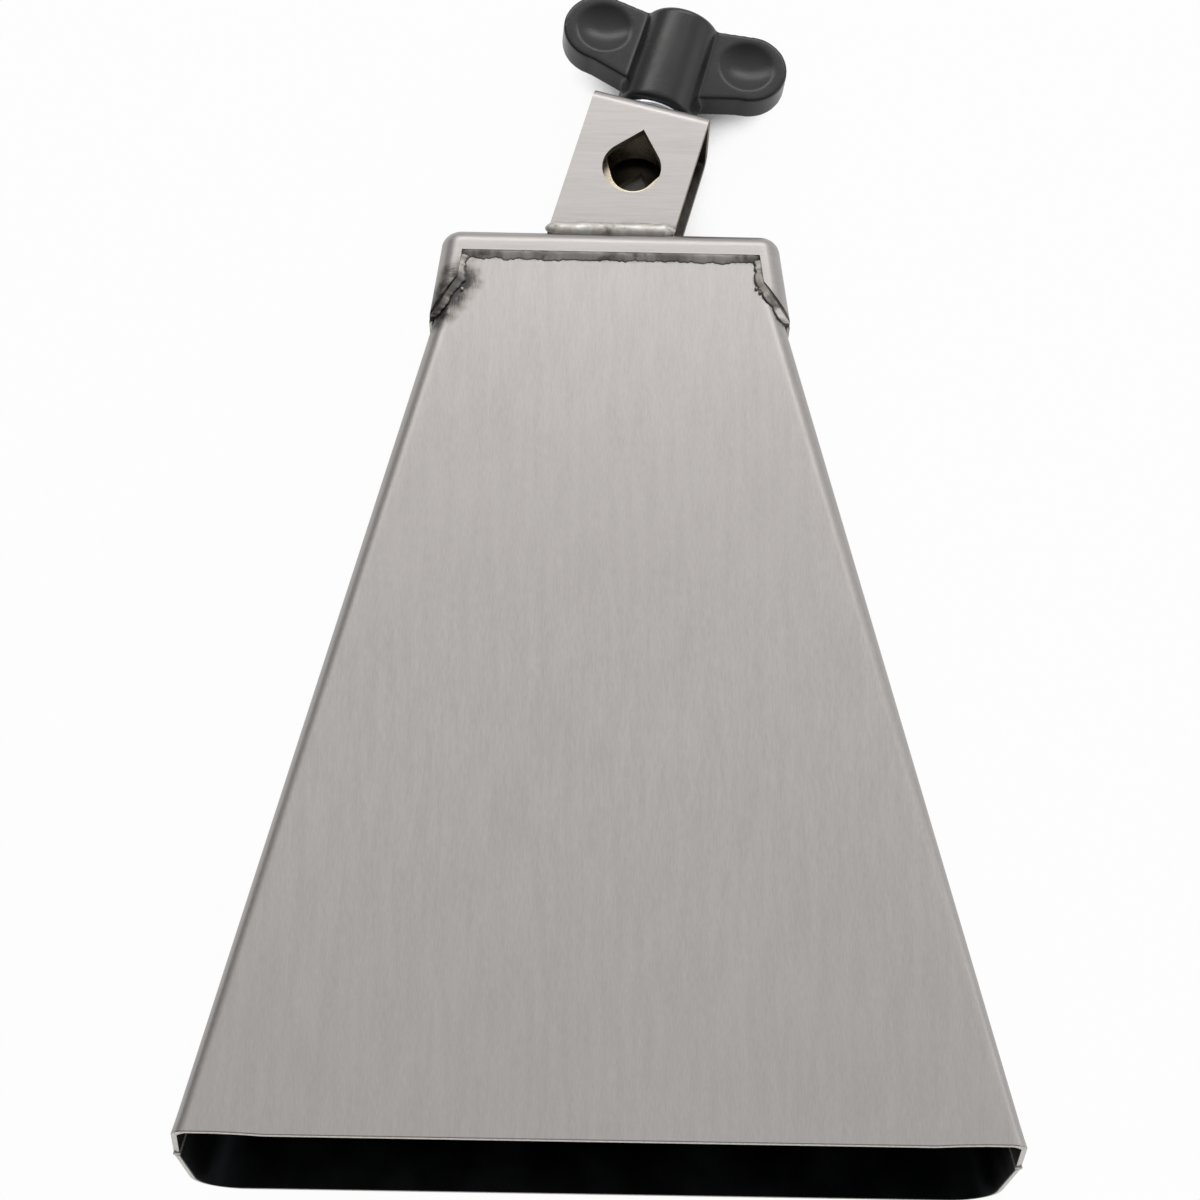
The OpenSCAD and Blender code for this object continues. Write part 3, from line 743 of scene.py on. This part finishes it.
def add_mouth_tacks():
    """A short bright weld in the angle inside each front corner of the mouth."""
    bell, _, _ = dimensions()
    bm = bmesh.new()
    for side in (-1, 1):
        path = []
        for z in (1 * MM, 3 * MM, 5.6 * MM):
            inset = bell.sheet + bell.tack * 0.6
            path.append((side * (half_width(bell, z) - inset - 0.8 * MM), face_y(bell, z) + inset, z))
        weld_bead(bm, path, (-side, 1, 0), bell.tack, 3.3 + side)
    bmesh.ops.recalc_face_normals(bm, faces=bm.faces)
    add_piece(bm, "mouth_corner_tacks", "bell", ["tack"])


# ---- The crown ----


def cap_weld_lines(bell, cap, front):
    """Lines of the cap's welds on one side of the bell, each with how strongly it burnt the metal."""
    top, ear, foot = (bell.length - h for h in (cap.flange_height, cap.ear_height, cap.side_height))
    lines, corners = [], []
    for side, by_ear, by_foot in ((-1, 0.55, 1.3), (1, 0.5, 0.5)):
        points = []
        for z in (foot, ear, top):
            x = min(window_half_width(bell, cap, z), half_width(bell, z) - 0.3 * MM)
            points.append(sheet_point(bell, side * x, z, front)[0])
        lines += [(points[:2], by_foot), (points[1:], by_ear)]
        corners.append(points[-1])
    return lines + [(corners, 0.55)]


def rounded_ring(half_x, front, back, radius, z):
    """A ring at height z: a rectangle with rounded corners, seen from above."""
    corners = ((1, -1, -90), (1, 1, 0), (-1, 1, 90), (-1, -1, 180))
    ring = []
    for side, deep, start in corners:
        y = front + radius if deep < 0 else back - radius
        ring += arc((side * (half_x - radius), y), radius, start, start + 90, 8)
    return [(x, y, z) for x, y in ring]


def cut_window(bm, bell, cap, front):
    """Cuts the opening between the ears out of the cap's front or back."""
    top, ear = bell.length - cap.flange_height, bell.length - cap.ear_height
    low = bell.length - cap.side_height - MM
    limit = face_y(bell, bell.length) - cap_skirt(cap) + cap.corner
    if not front:
        limit = back_y(bell, low + MM) + cap_skirt(cap) - cap.corner
    half, wide, foot = (window_half_width(bell, cap, z) for z in (top, ear, low))
    cuts = [((0, limit, 0), (0, 1, 0)), ((0, 0, top), (0, 0, 1)), ((0, 0, ear), (0, 0, 1))]
    for side in (-1, 1):
        cuts.append(((side * half, 0, top), (side * (top - ear), 0, wide - half)))
        cuts.append(((side * wide, 0, ear), (side * (ear - low), 0, foot - wide)))

    def chosen():
        return [f for f in bm.faces if (f.calc_center_median().y < limit) == front]

    for point, normal in cuts:
        faces = bm.faces[:] if point[1] else chosen()
        geom = list({e for f in faces for e in f.edges}) + list({v for f in faces for v in f.verts}) + faces
        bmesh.ops.bisect_plane(bm, geom=geom, plane_co=point, plane_no=normal, dist=0.001 * MM)
    gone = []
    for face in chosen():
        centre = face.calc_center_median()
        if centre.z < top and abs(centre.x) < window_half_width(bell, cap, centre.z):
            gone.append(face)
    bmesh.ops.delete(bm, geom=gone, context="FACES")


def add_crown_cap():
    """The cap, folded from sheet, with its rolled top edge and slanted ears."""
    bell, cap, _ = dimensions()
    foot, knob = bell.length - cap.side_height, bell.length - cap.edge
    rings = []
    for z in [foot + (knob - foot) * i / 14 for i in range(15)]:
        front, back = face_y(bell, z) - cap_skirt(cap), back_y(bell, z) + cap_skirt(cap)
        rings.append(rounded_ring(cap_half_width(bell, cap, z), front, back, cap.corner, z))
    front, back = face_y(bell, knob) - cap_skirt(cap), back_y(bell, knob) + cap_skirt(cap)
    for inset, rise in [(cap.edge - x, y) for x, y in arc((0, 0), cap.edge, 0, 90, 8)][1:]:
        half = cap_half_width(bell, cap, knob) - inset
        rings.append(rounded_ring(half, front + inset, back - inset, cap.corner - inset, knob + rise))
    bm = bmesh.new()
    _, last = loft(bm, rings, closed=True)
    close_end(bm, last)
    cut_window(bm, bell, cap, True)
    cut_window(bm, bell, cap, False)
    bmesh.ops.dissolve_degenerate(bm, dist=0.001 * MM, edges=bm.edges)
    face_outwards(bm, (0, bell.mouth_depth / 2, bell.length - 12 * MM))
    lines = cap_weld_lines(bell, cap, True) + cap_weld_lines(bell, cap, False)
    mark_scorch(bm, [(line, strength * 0.85) for line, strength in lines], 5 * MM)
    piece = add_piece(bm, "crown_cap", "bell", ["cap"])
    thicken(piece, cap.sheet)
    round_edges(piece, 0.22 * MM, 2, 50)


def sheet_point(bell, x, z, front):
    """A point of the body's outer surface at x and z, with the surface's direction there."""
    bend = along(bell, z, bell.face_bend if front else bell.back_bend, bell.crown_bend)
    wall = half_width(bell, z)
    lean = max(0, min(0.95, (abs(x) - wall + bend) / bend))
    turn = math.sqrt(1 - lean * lean)
    out = -1 if front else 1
    flat = face_y(bell, z) if front else back_y(bell, z)
    return Vector((x, flat - out * bend * (1 - turn), z)), Vector((math.copysign(lean, x), out * turn, 0))


# Section of the ground bead: how far in over the body, as shares of its width, and how high,
# as shares of the cap's step.
CAP_BEAD = (
    (-0.7, 0.97), (0, 0.96), (0.35, 0.84), (0.7, 0.56), (1, 0.26), (1.3, 0.03), (0.5, -0.25), (-0.4, -0.2)
)


# Spatter beside the ears: across, up and radius, in mm.
SPATTER = ((31.4, 189.2, 0.42), (32.2, 189, 0.36), (32.2, 188.2, 0.4), (-31.9, 187.6, 0.4))


def cap_bead(bm, bell, cap, front, seed):
    """The ground bead that fills the step from the cap's edge down to the body, from ear to ear."""
    top, ear, foot = (bell.length - h for h in (cap.flange_height, cap.ear_height, cap.side_height))
    corners = []
    for side, heights in ((-1, (foot, ear, top)), (1, (top, ear, foot))):
        for z in heights:
            x = min(window_half_width(bell, cap, z), half_width(bell, z) - 0.3 * MM)
            corners.append(Vector((side * x, 0, z)))
    points = steps_along(corners, 0.35 * MM)
    rings = []
    for i, point in enumerate(points):
        edge, out = sheet_point(bell, point.x, point.z, front)
        tangent = (points[min(i + 2, len(points) - 1)] - points[max(i - 2, 0)]).normalized()
        inward = tangent.cross(out) * (1 if front else -1)
        ragged = 0.45 * noise.noise((i * 0.13, seed, 2)) + 0.25 * noise.noise((i * 0.5, seed, 5))
        width = cap.bead * (1 + ragged)
        proud = cap_skirt(cap) * (0.94 + 0.06 * noise.noise((i * 0.21, seed, 9)))
        ring = []
        for deep, high in CAP_BEAD:
            rough = 0.04 * MM * noise.noise(point / (0.7 * MM) + Vector((deep * 3, seed, high * 3)))
            ring.append(edge + inward * deep * width + out * (high * proud + rough))
        rings.append(ring)
    solid_loft(bm, rings)


def add_cap_welds():
    """The beads around the cap: front, back, and the ends of the side flanges."""
    bell, cap, _ = dimensions()
    for front, name in ((True, "cap_front_weld"), (False, "cap_rear_weld")):
        bm = bmesh.new()
        cap_bead(bm, bell, cap, front, 1.7 + front)
        mark_scorch(bm, cap_weld_lines(bell, cap, front), 5 * MM)
        if front:
            for x, z, r in SPATTER:
                spot = Matrix.Translation((x * MM, face_y(bell, z * MM) - 0.2 * MM, z * MM))
                bmesh.ops.create_icosphere(bm, subdivisions=2, radius=r * MM, matrix=spot)
        bmesh.ops.recalc_face_normals(bm, faces=bm.faces)
        add_piece(bm, name, "bell", ["bead"])
    bm = bmesh.new()
    foot = bell.length - cap.side_height
    for side in (-1, 1):
        z = foot - 0.3 * MM
        x = seam_half_width(bell, z) + 0.35 * MM
        path = [(side * x, y, z) for y in (face_y(bell, z) + 4.2 * MM, back_y(bell, z) - 4.2 * MM)]
        weld_bead(bm, path, (side, 0, 0), cap.bead * 0.5, 5.1 + side)
    bmesh.ops.recalc_face_normals(bm, faces=bm.faces)
    add_piece(bm, "cap_side_welds", "bell", ["bead"])


# ---- The rod clamp ----


def drop_outline(clamp, centre, up):
    """The rod hole's outline on the flat bar: a circle drawn out to a point."""
    touch = math.degrees(math.acos(clamp.hole / clamp.hole_tip))
    round_part = arc((0, 0), clamp.hole, 90 + touch, 450 - touch, 40)
    return [(x, centre + up * y) for x, y in round_part + [(0, clamp.hole_tip)]]


def bend_bar(clamp, s):
    """Depth and height in the clamp of a point at distance s along the flat bar from its middle."""
    flat = clamp.depth / 2 - clamp.bend
    curve = clamp.bend * math.pi / 2
    side, far = (1 if s > 0 else -1), abs(s)
    if far <= flat:
        return s, clamp.top
    if far <= flat + curve:
        turn = (far - flat) / clamp.bend
        return side * (flat + clamp.bend * math.sin(turn)), clamp.top - clamp.bend * (1 - math.cos(turn))
    return side * clamp.depth / 2, clamp.top - clamp.bend - (far - flat - curve)


def foot_line(bell, cap, clamp, front):
    """Line where one leg of the bracket stands on the crown, in the upright bell."""
    place = clamp_place(bell, cap, clamp)
    points = []
    for side in (-1, 1):
        rise = -clamp.hole_height + side * clamp.bar_width / 2 * math.sin(clamp.lean)
        height = rise / math.cos(clamp.lean)
        points.append(place @ Vector((side * clamp.bar_width / 2, 0 if front else clamp.depth, height)))
    return points


def add_bracket():
    """The flat bar with its holes, bent and cut off along the crown."""
    bell, cap, clamp = dimensions()
    flat = clamp.depth / 2 - clamp.bend
    curve = clamp.bend * math.pi / 2
    hole = flat + curve + clamp.top - clamp.bend
    end = hole + clamp.hole_height + clamp.bar_width / 2
    half = clamp.bar_width / 2
    bm = bmesh.new()
    filled_outline(
        bm,
        [
            [(-half, -end), (half, -end), (half, end), (-half, end)],
            arc((0, 0), clamp.stud_hole, 0, 354, 59),
            drop_outline(clamp, -hole, 1),
            drop_outline(clamp, hole, -1),
        ],
    )
    snap = 0.001 * MM
    for side in (-1, 1):
        for i in range(-1, 12):
            cut(bm, (0, side * (flat + curve * i / 10), 0), (0, 1, 0), dist=snap)
    for i in range(1, 10):
        cut(bm, (half * (i / 5 - 1), 0, 0), (1, 0, 0), dist=snap)
    row_gap = 2.2 * MM
    for i in range(-24, 25):
        if abs(i * row_gap) > flat + curve + MM:
            cut(bm, (0, i * row_gap, 0), (0, 1, 0), dist=snap)
    for vert in bm.verts:
        depth, height = bend_bar(clamp, vert.co.y)
        vert.co = (vert.co.x, depth + clamp.depth / 2, height)
    bmesh.ops.transform(bm, matrix=clamp_place(bell, cap, clamp), verts=bm.verts)
    cut(bm, (0, 0, bell.length + 0.02 * MM), (0, 0, 1), clear_inner=True)
    face_outwards(bm, clamp_place(bell, cap, clamp) @ Vector((0, clamp.depth / 2, -clamp.top)))
    mark_scorch(bm, [(foot_line(bell, cap, clamp, front), 0.75) for front in (True, False)], 4.5 * MM)
    piece = add_piece(bm, "bracket", "bell", ["bracket", "bracket inside", "sheared"])
    thicken(piece, clamp.bar, 1, 2)
    round_edges(piece, 0.95 * MM, 5)


def add_bracket_welds():
    """The bright lumpy bead along each foot of the bracket."""
    bell, cap, clamp = dimensions()
    for front, name in ((True, "bracket_front_weld"), (False, "bracket_rear_weld")):
        out = -1 if front else 1
        start, end = foot_line(bell, cap, clamp, front)
        lift = Vector((0, out * 0.1 * MM, clamp.foot_bead * 0.5))
        reach = Vector((0.5 * MM, 0, 0))
        bm = bmesh.new()
        path = [start - reach + lift, end + reach + lift]
        weld_bead(bm, path, (0, out, 0.25), clamp.foot_bead, 8.2 + front, 0.15, 0.25)
        bmesh.ops.recalc_face_normals(bm, faces=bm.faces)
        add_piece(bm, name, "bell", ["foot bead"])


def add_eye_bolt():
    """The eye that carries the rod, with its threaded stud."""
    bell, cap, clamp = dimensions()
    half = clamp.eye_width / 2
    saddle_z = clamp.saddle_low + clamp.saddle
    open_z = saddle_z + clamp.eye_rise
    top = open_z + clamp.eye_opening + clamp.eye_top_wall
    round_z = clamp.saddle_low - clamp.eye_foot_wall + half
    slope = math.degrees(math.asin((clamp.eye_opening - clamp.saddle) / clamp.eye_rise))
    outside = [(half, top), (-half, top)] + arc((0, round_z), half, 180, 360, 30)
    opening = arc((0, open_z), clamp.eye_opening, -slope, 180 + slope, 40)
    opening += arc((0, saddle_z), clamp.saddle, 180 + slope, 360 - slope, 24)
    bm = bmesh.new()
    filled_outline(bm, [outside, opening])
    made = bmesh.ops.extrude_face_region(bm, geom=bm.faces[:])["geom"]
    verts = [g for g in made if isinstance(g, bmesh.types.BMVert)]
    bmesh.ops.translate(bm, verts=verts, vec=(0, 0, clamp.eye_depth))
    bmesh.ops.recalc_face_normals(bm, faces=bm.faces)
    sharp = [e for e in bm.edges if len(e.link_faces) == 2 and e.calc_face_angle() > math.radians(40)]
    bmesh.ops.bevel(
        bm,
        geom=sharp,
        offset=0.3 * MM,
        segments=4,
        profile=0.5,
        affect="EDGES",
        material=-1,
        clamp_overlap=True,
    )
    upright = Matrix.Translation((0, clamp.eye_depth / 2, 0)) @ Matrix.Rotation(math.pi / 2, 4, "X")
    bmesh.ops.transform(bm, matrix=upright, verts=bm.verts)
    stud_top = hub_foot_z(clamp) + clamp.hub_height - clamp.stud_short
    add_thread(bm, clamp.stud, clamp.pitch, top - MM, stud_top)
    piece = add_piece(bm, "eye_bolt", "eye", ["eye"], stud_place(bell, cap, clamp))
    piece.data.set_sharp_from_angle(angle=math.radians(35))


def add_thread(bm, radius, pitch, low, high):
    """A right-hand thread from low to high on a core with a chamfered end."""
    root = radius - 0.55 * pitch
    around = 28
    turns = math.floor((high - low) / pitch) - 2
    tooth = [(root, low), (radius, low + pitch / 2), (root, low + pitch)]
    verts, edges = draw(bm, [(x, 0, z) for x, z in tooth])
    before = set(bm.verts) - set(verts)
    bmesh.ops.spin(
        bm,
        geom=verts + edges,
        cent=(0, 0, 0),
        axis=(0, 0, 1),
        dvec=(0, 0, pitch / around),
        angle=2 * math.pi * turns,
        steps=around * turns,
    )
    thread = [v for v in bm.verts if v not in before]
    bmesh.ops.remove_doubles(bm, verts=thread, dist=0.005 * MM)
    core = bmesh.new()
    chamfer = 0.8 * MM
    profile = [(0, low - MM), (root, low - MM), (root, high - 1.8 * MM), (radius - 0.1 * MM, high - 1.5 * MM)]
    profile += [(radius - 0.1 * MM, high - chamfer), (radius - chamfer, high), (0, high)]
    spun(core, profile, around)
    swap = bpy.data.meshes.new("core")
    core.to_mesh(swap)
    core.free()
    bm.from_mesh(swap)
    bpy.data.meshes.remove(swap)


def add_washer():
    """The bright washer under the wing nut."""
    bell, cap, clamp = dimensions()
    low, high = clamp.top + 0.01 * MM, clamp.top + clamp.washer_height
    edge = 0.3 * MM
    bm = bmesh.new()
    profile = [(clamp.stud_hole, low), (clamp.washer - edge, low), (clamp.washer, low + edge)]
    profile += [(clamp.washer, high - edge), (clamp.washer - edge, high), (clamp.stud_hole, high)]
    spun(bm, profile)
    piece = add_piece(bm, "washer", "bell", ["zinc"], stud_place(bell, cap, clamp))
    piece.data.set_sharp_from_angle(angle=math.radians(30))


# ---- The wing nut ----


def wing_solid(bm, clamp, side):
    """One wing, with rounded edges: a round end and a neck that runs into the hub."""
    foot, top = hub_foot_z(clamp), hub_foot_z(clamp) + clamp.hub_height
    centre = foot + clamp.wing_height
    root = 0.72 * clamp.hub_top
    round_end = arc((clamp.wing_reach, centre), clamp.wing, -90, 90, 36)
    neck = [(root, top - 0.8 * MM), (root, foot + clamp.wing_root)]
    outline = [(side * x, z) for x, z in round_end + neck]
    before = set(bm.verts)
    filled_outline(bm, [outline])
    flat = [f for f in bm.faces if not set(f.verts) & before]
    made = bmesh.ops.extrude_face_region(bm, geom=flat)["geom"]
    verts = [g for g in made if isinstance(g, bmesh.types.BMVert)]
    bmesh.ops.translate(bm, verts=verts, vec=(0, 0, clamp.wing_depth))
    new = [v for v in bm.verts if v not in before]
    faces = list({f for v in new for f in v.link_faces})
    bmesh.ops.recalc_face_normals(bm, faces=faces)
    rim = [e for e in {e for v in new for e in v.link_edges} if e.calc_face_angle(0) > math.radians(60)]
    bmesh.ops.bevel(
        bm, geom=rim, offset=1 * MM, segments=4, profile=0.5, affect="EDGES", material=-1, clamp_overlap=True
    )
    new = [v for v in bm.verts if v not in before]
    upright = Matrix.Translation((0, clamp.wing_depth / 2, 0)) @ Matrix.Rotation(math.pi / 2, 4, "X")
    bmesh.ops.transform(bm, matrix=upright, verts=new)


def add_wing_nut():
    """The black wing nut: hub and wings run into one another, with a thumb dish in each wing's faces."""
    bell, cap, clamp = dimensions()
    foot, top = hub_foot_z(clamp), hub_foot_z(clamp) + clamp.hub_height
    bore, edge = clamp.insert + 0.05 * MM, 0.9 * MM
    bm = bmesh.new()
    profile = [(bore, foot), (clamp.hub_foot - edge, foot), (clamp.hub_foot, foot + edge)]
    profile += [(clamp.hub_top, top - edge), (clamp.hub_top - edge, top), (bore, top)]
    spun(bm, profile, 96)
    wing_solid(bm, clamp, 1)
    wing_solid(bm, clamp, -1)
    bmesh.ops.recalc_face_normals(bm, faces=bm.faces)
    rough = bpy.data.meshes.new("Wing nut blank")
    bm.to_mesh(rough)
    bm.free()
    blank = bpy.data.objects.new("Wing nut blank", rough)
    bpy.context.scene.collection.objects.link(blank)
    remesh = blank.modifiers.new("One skin", "REMESH")
    remesh.mode = "VOXEL"
    remesh.voxel_size = 0.32 * MM
    skin = bpy.data.meshes.new_from_object(blank.evaluated_get(bpy.context.evaluated_depsgraph_get()))
    bpy.data.objects.remove(blank)
    bpy.data.meshes.remove(rough)
    bm = bmesh.new()
    bm.from_mesh(skin)
    bpy.data.meshes.remove(skin)
    even_out(bm, passes=6)
    centre = foot + clamp.wing_height + 0.3 * MM
    for vert in bm.verts:
        x, y, z = vert.co
        far = math.hypot(abs(x) - clamp.wing_reach + 0.6 * MM, z - centre) / clamp.dish
        on_face = max(0, min(1, (abs(y) / clamp.wing_depth - 0.25) / 0.2))
        if far < 1 and abs(x) > clamp.hub_top:
            depth = clamp.dish_depth * (1 - far * far)
            vert.co.y -= math.copysign(depth * on_face, y)
    even_out(bm, passes=3)
    place = stud_place(bell, cap, clamp) @ Matrix.Rotation(clamp.wing_turn, 4, "Z")
    add_piece(bm, "wing_nut", "wing", ["nylon"], place)


def add_thread_insert():
    """The brass insert in the wing nut's hub."""
    bell, cap, clamp = dimensions()
    foot, top = hub_foot_z(clamp), hub_foot_z(clamp) + clamp.hub_height - 0.2 * MM
    bore, edge = clamp.stud + 0.06 * MM, 0.5 * MM
    profile = [(bore + edge, foot), (clamp.insert, foot), (clamp.insert, top), (bore + edge, top)]
    profile += [(bore, top - edge), (bore, foot + edge)]
    bm = bmesh.new()
    spun(bm, profile)
    piece = add_piece(bm, "thread_insert", "wing", ["brass"], stud_place(bell, cap, clamp))
    piece.data.set_sharp_from_angle(angle=math.radians(30))


# ---- The stage ----


def add_light(name, place, extent, level, tone=(1, 1, 1)):
    """A soft flat light at place, turned to the object; level is its brightness, where 1 is white."""
    lamp = bpy.data.lights.new(name, "AREA")
    lamp.shape = "RECTANGLE"
    lamp.size, lamp.size_y = extent
    lamp.energy = level * math.pi * extent[0] * extent[1]
    lamp.color = tone
    light = bpy.data.objects.new(name, lamp)
    light.location = place
    light.rotation_euler = (-Vector(place)).to_track_quat("-Z", "Y").to_euler()
    bpy.context.scene.collection.objects.link(light)


def add_stage():
    """The floor, the lights, the pale world and the camera."""
    scene = bpy.context.scene
    bell, cap, _ = dimensions()
    bm = bmesh.new()
    bmesh.ops.create_grid(bm, x_segments=1, y_segments=1, size=3)
    mesh = bpy.data.meshes.new("Floor")
    bm.to_mesh(mesh)
    bm.free()
    mesh.materials.append(studio_floor())
    floor = bpy.data.objects.new("Floor", mesh)
    scene.collection.objects.link(floor)

    add_light("Back softbox", (0, 1.0, 0.76), (1.4, 0.26), 2.6, (1, 0.985, 0.96))
    add_light("Right softbox", (1.0, 0.1, 0.35), (0.9, 0.5), 0.6, (0.95, 0.97, 1))
    scene.world = studio_world()

    image = 1200
    focal = 3001.4
    low_centre = 19.03
    eye = Vector((-8.086, -553.845, -132.620)) * MM
    camera = bpy.data.cameras.new("Camera")
    camera.sensor_width = 36
    camera.lens = focal * camera.sensor_width / image
    camera.shift_y = low_centre / image
    seat = bpy.data.objects.new("Camera", camera)
    yaw = Matrix.Rotation(math.radians(-0.695), 4, "Z")
    pitch = Matrix.Rotation(math.radians(90 + 23.331), 4, "X")
    roll = Matrix.Rotation(math.radians(0.815), 4, "Z")
    seat.matrix_world = laid(bell, cap) @ Matrix.Translation(eye) @ yaw @ pitch @ roll
    scene.collection.objects.link(seat)
    scene.camera = seat
    scene.view_settings.view_transform = "Standard"


FINISH = {}


def make_finishes():
    """Makes each finish once, before the pieces that wear it."""
    finish = bpy.context.scene.cowbell_finishes
    lean = bpy.context.scene.cowbell_clamp.lean
    FINISH["body"] = brushed_steel("Brushed steel sheet")
    FINISH["cap"] = brushed_steel("Brushed steel cap", across=True, streak=14, grain=0.3)
    # The bar's outside is a painted lighter copy of the steel; its inside, unbrushed, is a painted shaded
    # copy where shade falls between the legs.
    FINISH["bracket"] = brushed_steel(
        "Brushed steel bar", turn=lean, across=True, streak=9, grain=0.28, light=1.12
    )
    FINISH["bracket inside"] = brushed_steel(
        "Steel bar, unbrushed, painted shade", turn=lean, streak=3, grain=1.5, light=0.35
    )
    FINISH["inside"] = oiled_steel(finish.inside)
    FINISH["sheared"] = cut_edge("Sheared edge", finish.sheared, 0.55)
    FINISH["lip"] = cut_edge("Ground lip", finish.lip, 0.4)
    # Each bead's second number is the share of painted highlight on its ripple tops.
    FINISH["bead"] = weld_metal("Burnt weld bead", 0.45, 0.6)
    FINISH["foot bead"] = weld_metal("Bright weld bead", 1.0, 0.1)
    FINISH["tack"] = weld_metal("Tack weld", 0.8, 0.2)
    FINISH["zinc"] = zinc_plate("Bright zinc plate", finish.zinc)
    FINISH["eye"] = zinc_plate("Passivated zinc plate", finish.passivate)
    FINISH["nylon"] = moulded_nylon(finish.nylon)
    FINISH["brass"] = turned_brass(finish.brass)


# ---- Operators ----


class COWBELL_OT_finishes(bpy.types.Operator):
    """Makes the finishes of all pieces"""

    bl_idname = "cowbell.finishes"
    bl_label = "Finishes"

    def execute(self, context):
        make_finishes()
        return {"FINISHED"}


class COWBELL_OT_shells(bpy.types.Operator):
    """Builds the two halves of the bell's body"""

    bl_idname = "cowbell.shells"
    bl_label = "Shells"

    def execute(self, context):
        add_shell(True)
        add_shell(False)
        return {"FINISHED"}


class COWBELL_OT_seam_welds(bpy.types.Operator):
    """Builds the ground welds along the side seams"""

    bl_idname = "cowbell.seam_welds"
    bl_label = "Seam welds"

    def execute(self, context):
        add_seam_welds()
        return {"FINISHED"}


class COWBELL_OT_mouth_tacks(bpy.types.Operator):
    """Builds the tack welds inside the mouth"""

    bl_idname = "cowbell.mouth_tacks"
    bl_label = "Mouth tacks"

    def execute(self, context):
        add_mouth_tacks()
        return {"FINISHED"}


class COWBELL_OT_crown_cap(bpy.types.Operator):
    """Builds the folded cap over the crown"""

    bl_idname = "cowbell.crown_cap"
    bl_label = "Crown cap"

    def execute(self, context):
        add_crown_cap()
        return {"FINISHED"}


class COWBELL_OT_cap_welds(bpy.types.Operator):
    """Builds the beads around the cap"""

    bl_idname = "cowbell.cap_welds"
    bl_label = "Cap welds"

    def execute(self, context):
        add_cap_welds()
        return {"FINISHED"}


class COWBELL_OT_bracket(bpy.types.Operator):
    """Builds the clamp's bent bracket"""

    bl_idname = "cowbell.bracket"
    bl_label = "Bracket"

    def execute(self, context):
        add_bracket()
        return {"FINISHED"}


class COWBELL_OT_bracket_welds(bpy.types.Operator):
    """Builds the beads at the bracket's feet"""

    bl_idname = "cowbell.bracket_welds"
    bl_label = "Bracket welds"

    def execute(self, context):
        add_bracket_welds()
        return {"FINISHED"}


class COWBELL_OT_eye_bolt(bpy.types.Operator):
    """Builds the eye bolt that holds the rod"""

    bl_idname = "cowbell.eye_bolt"
    bl_label = "Eye bolt"

    def execute(self, context):
        add_eye_bolt()
        return {"FINISHED"}


class COWBELL_OT_washer(bpy.types.Operator):
    """Builds the washer"""

    bl_idname = "cowbell.washer"
    bl_label = "Washer"

    def execute(self, context):
        add_washer()
        return {"FINISHED"}


class COWBELL_OT_wing_nut(bpy.types.Operator):
    """Builds the wing nut"""

    bl_idname = "cowbell.wing_nut"
    bl_label = "Wing nut"

    def execute(self, context):
        add_wing_nut()
        return {"FINISHED"}


class COWBELL_OT_thread_insert(bpy.types.Operator):
    """Builds the brass insert"""

    bl_idname = "cowbell.thread_insert"
    bl_label = "Thread insert"

    def execute(self, context):
        add_thread_insert()
        return {"FINISHED"}


class COWBELL_OT_stage(bpy.types.Operator):
    """Sets the floor, the lights and the camera"""

    bl_idname = "cowbell.stage"
    bl_label = "Stage"

    def execute(self, context):
        add_stage()
        return {"FINISHED"}


BUILDERS = (
    COWBELL_OT_finishes,
    COWBELL_OT_shells,
    COWBELL_OT_seam_welds,
    COWBELL_OT_mouth_tacks,
    COWBELL_OT_crown_cap,
    COWBELL_OT_cap_welds,
    COWBELL_OT_bracket,
    COWBELL_OT_bracket_welds,
    COWBELL_OT_eye_bolt,
    COWBELL_OT_washer,
    COWBELL_OT_wing_nut,
    COWBELL_OT_thread_insert,
    COWBELL_OT_stage,
)
GROUPS = {
    "cowbell_bell": BellSizes,
    "cowbell_cap": CapSizes,
    "cowbell_clamp": ClampSizes,
    "cowbell_finishes": Finishes,
}


class COWBELL_PT_panel(bpy.types.Panel):
    """Lists the cowbell's sizes and the steps that build it"""

    bl_idname = "COWBELL_PT_panel"
    bl_label = "Cowbell"
    bl_space_type = "VIEW_3D"
    bl_region_type = "UI"
    bl_category = "Cowbell"

    def draw(self, context):
        for group in GROUPS:
            box = self.layout.box()
            values = getattr(context.scene, group)
            for name in values.__annotations__:
                box.prop(values, name)
        for builder in BUILDERS:
            self.layout.operator(builder.bl_idname)


def register():
    for group in GROUPS.values():
        bpy.utils.register_class(group)
    for name, group in GROUPS.items():
        setattr(bpy.types.Scene, name, PointerProperty(type=group))
    for cls in (*BUILDERS, COWBELL_PT_panel):
        bpy.utils.register_class(cls)


def unregister():
    for cls in (*BUILDERS, COWBELL_PT_panel):
        bpy.utils.unregister_class(cls)
    for name, group in GROUPS.items():
        delattr(bpy.types.Scene, name)
        bpy.utils.unregister_class(group)


def main():
    register()
    for builder in BUILDERS:
        group, step = builder.bl_idname.split(".")
        getattr(getattr(bpy.ops, group), step)()


if __name__ == "__main__":
    main()
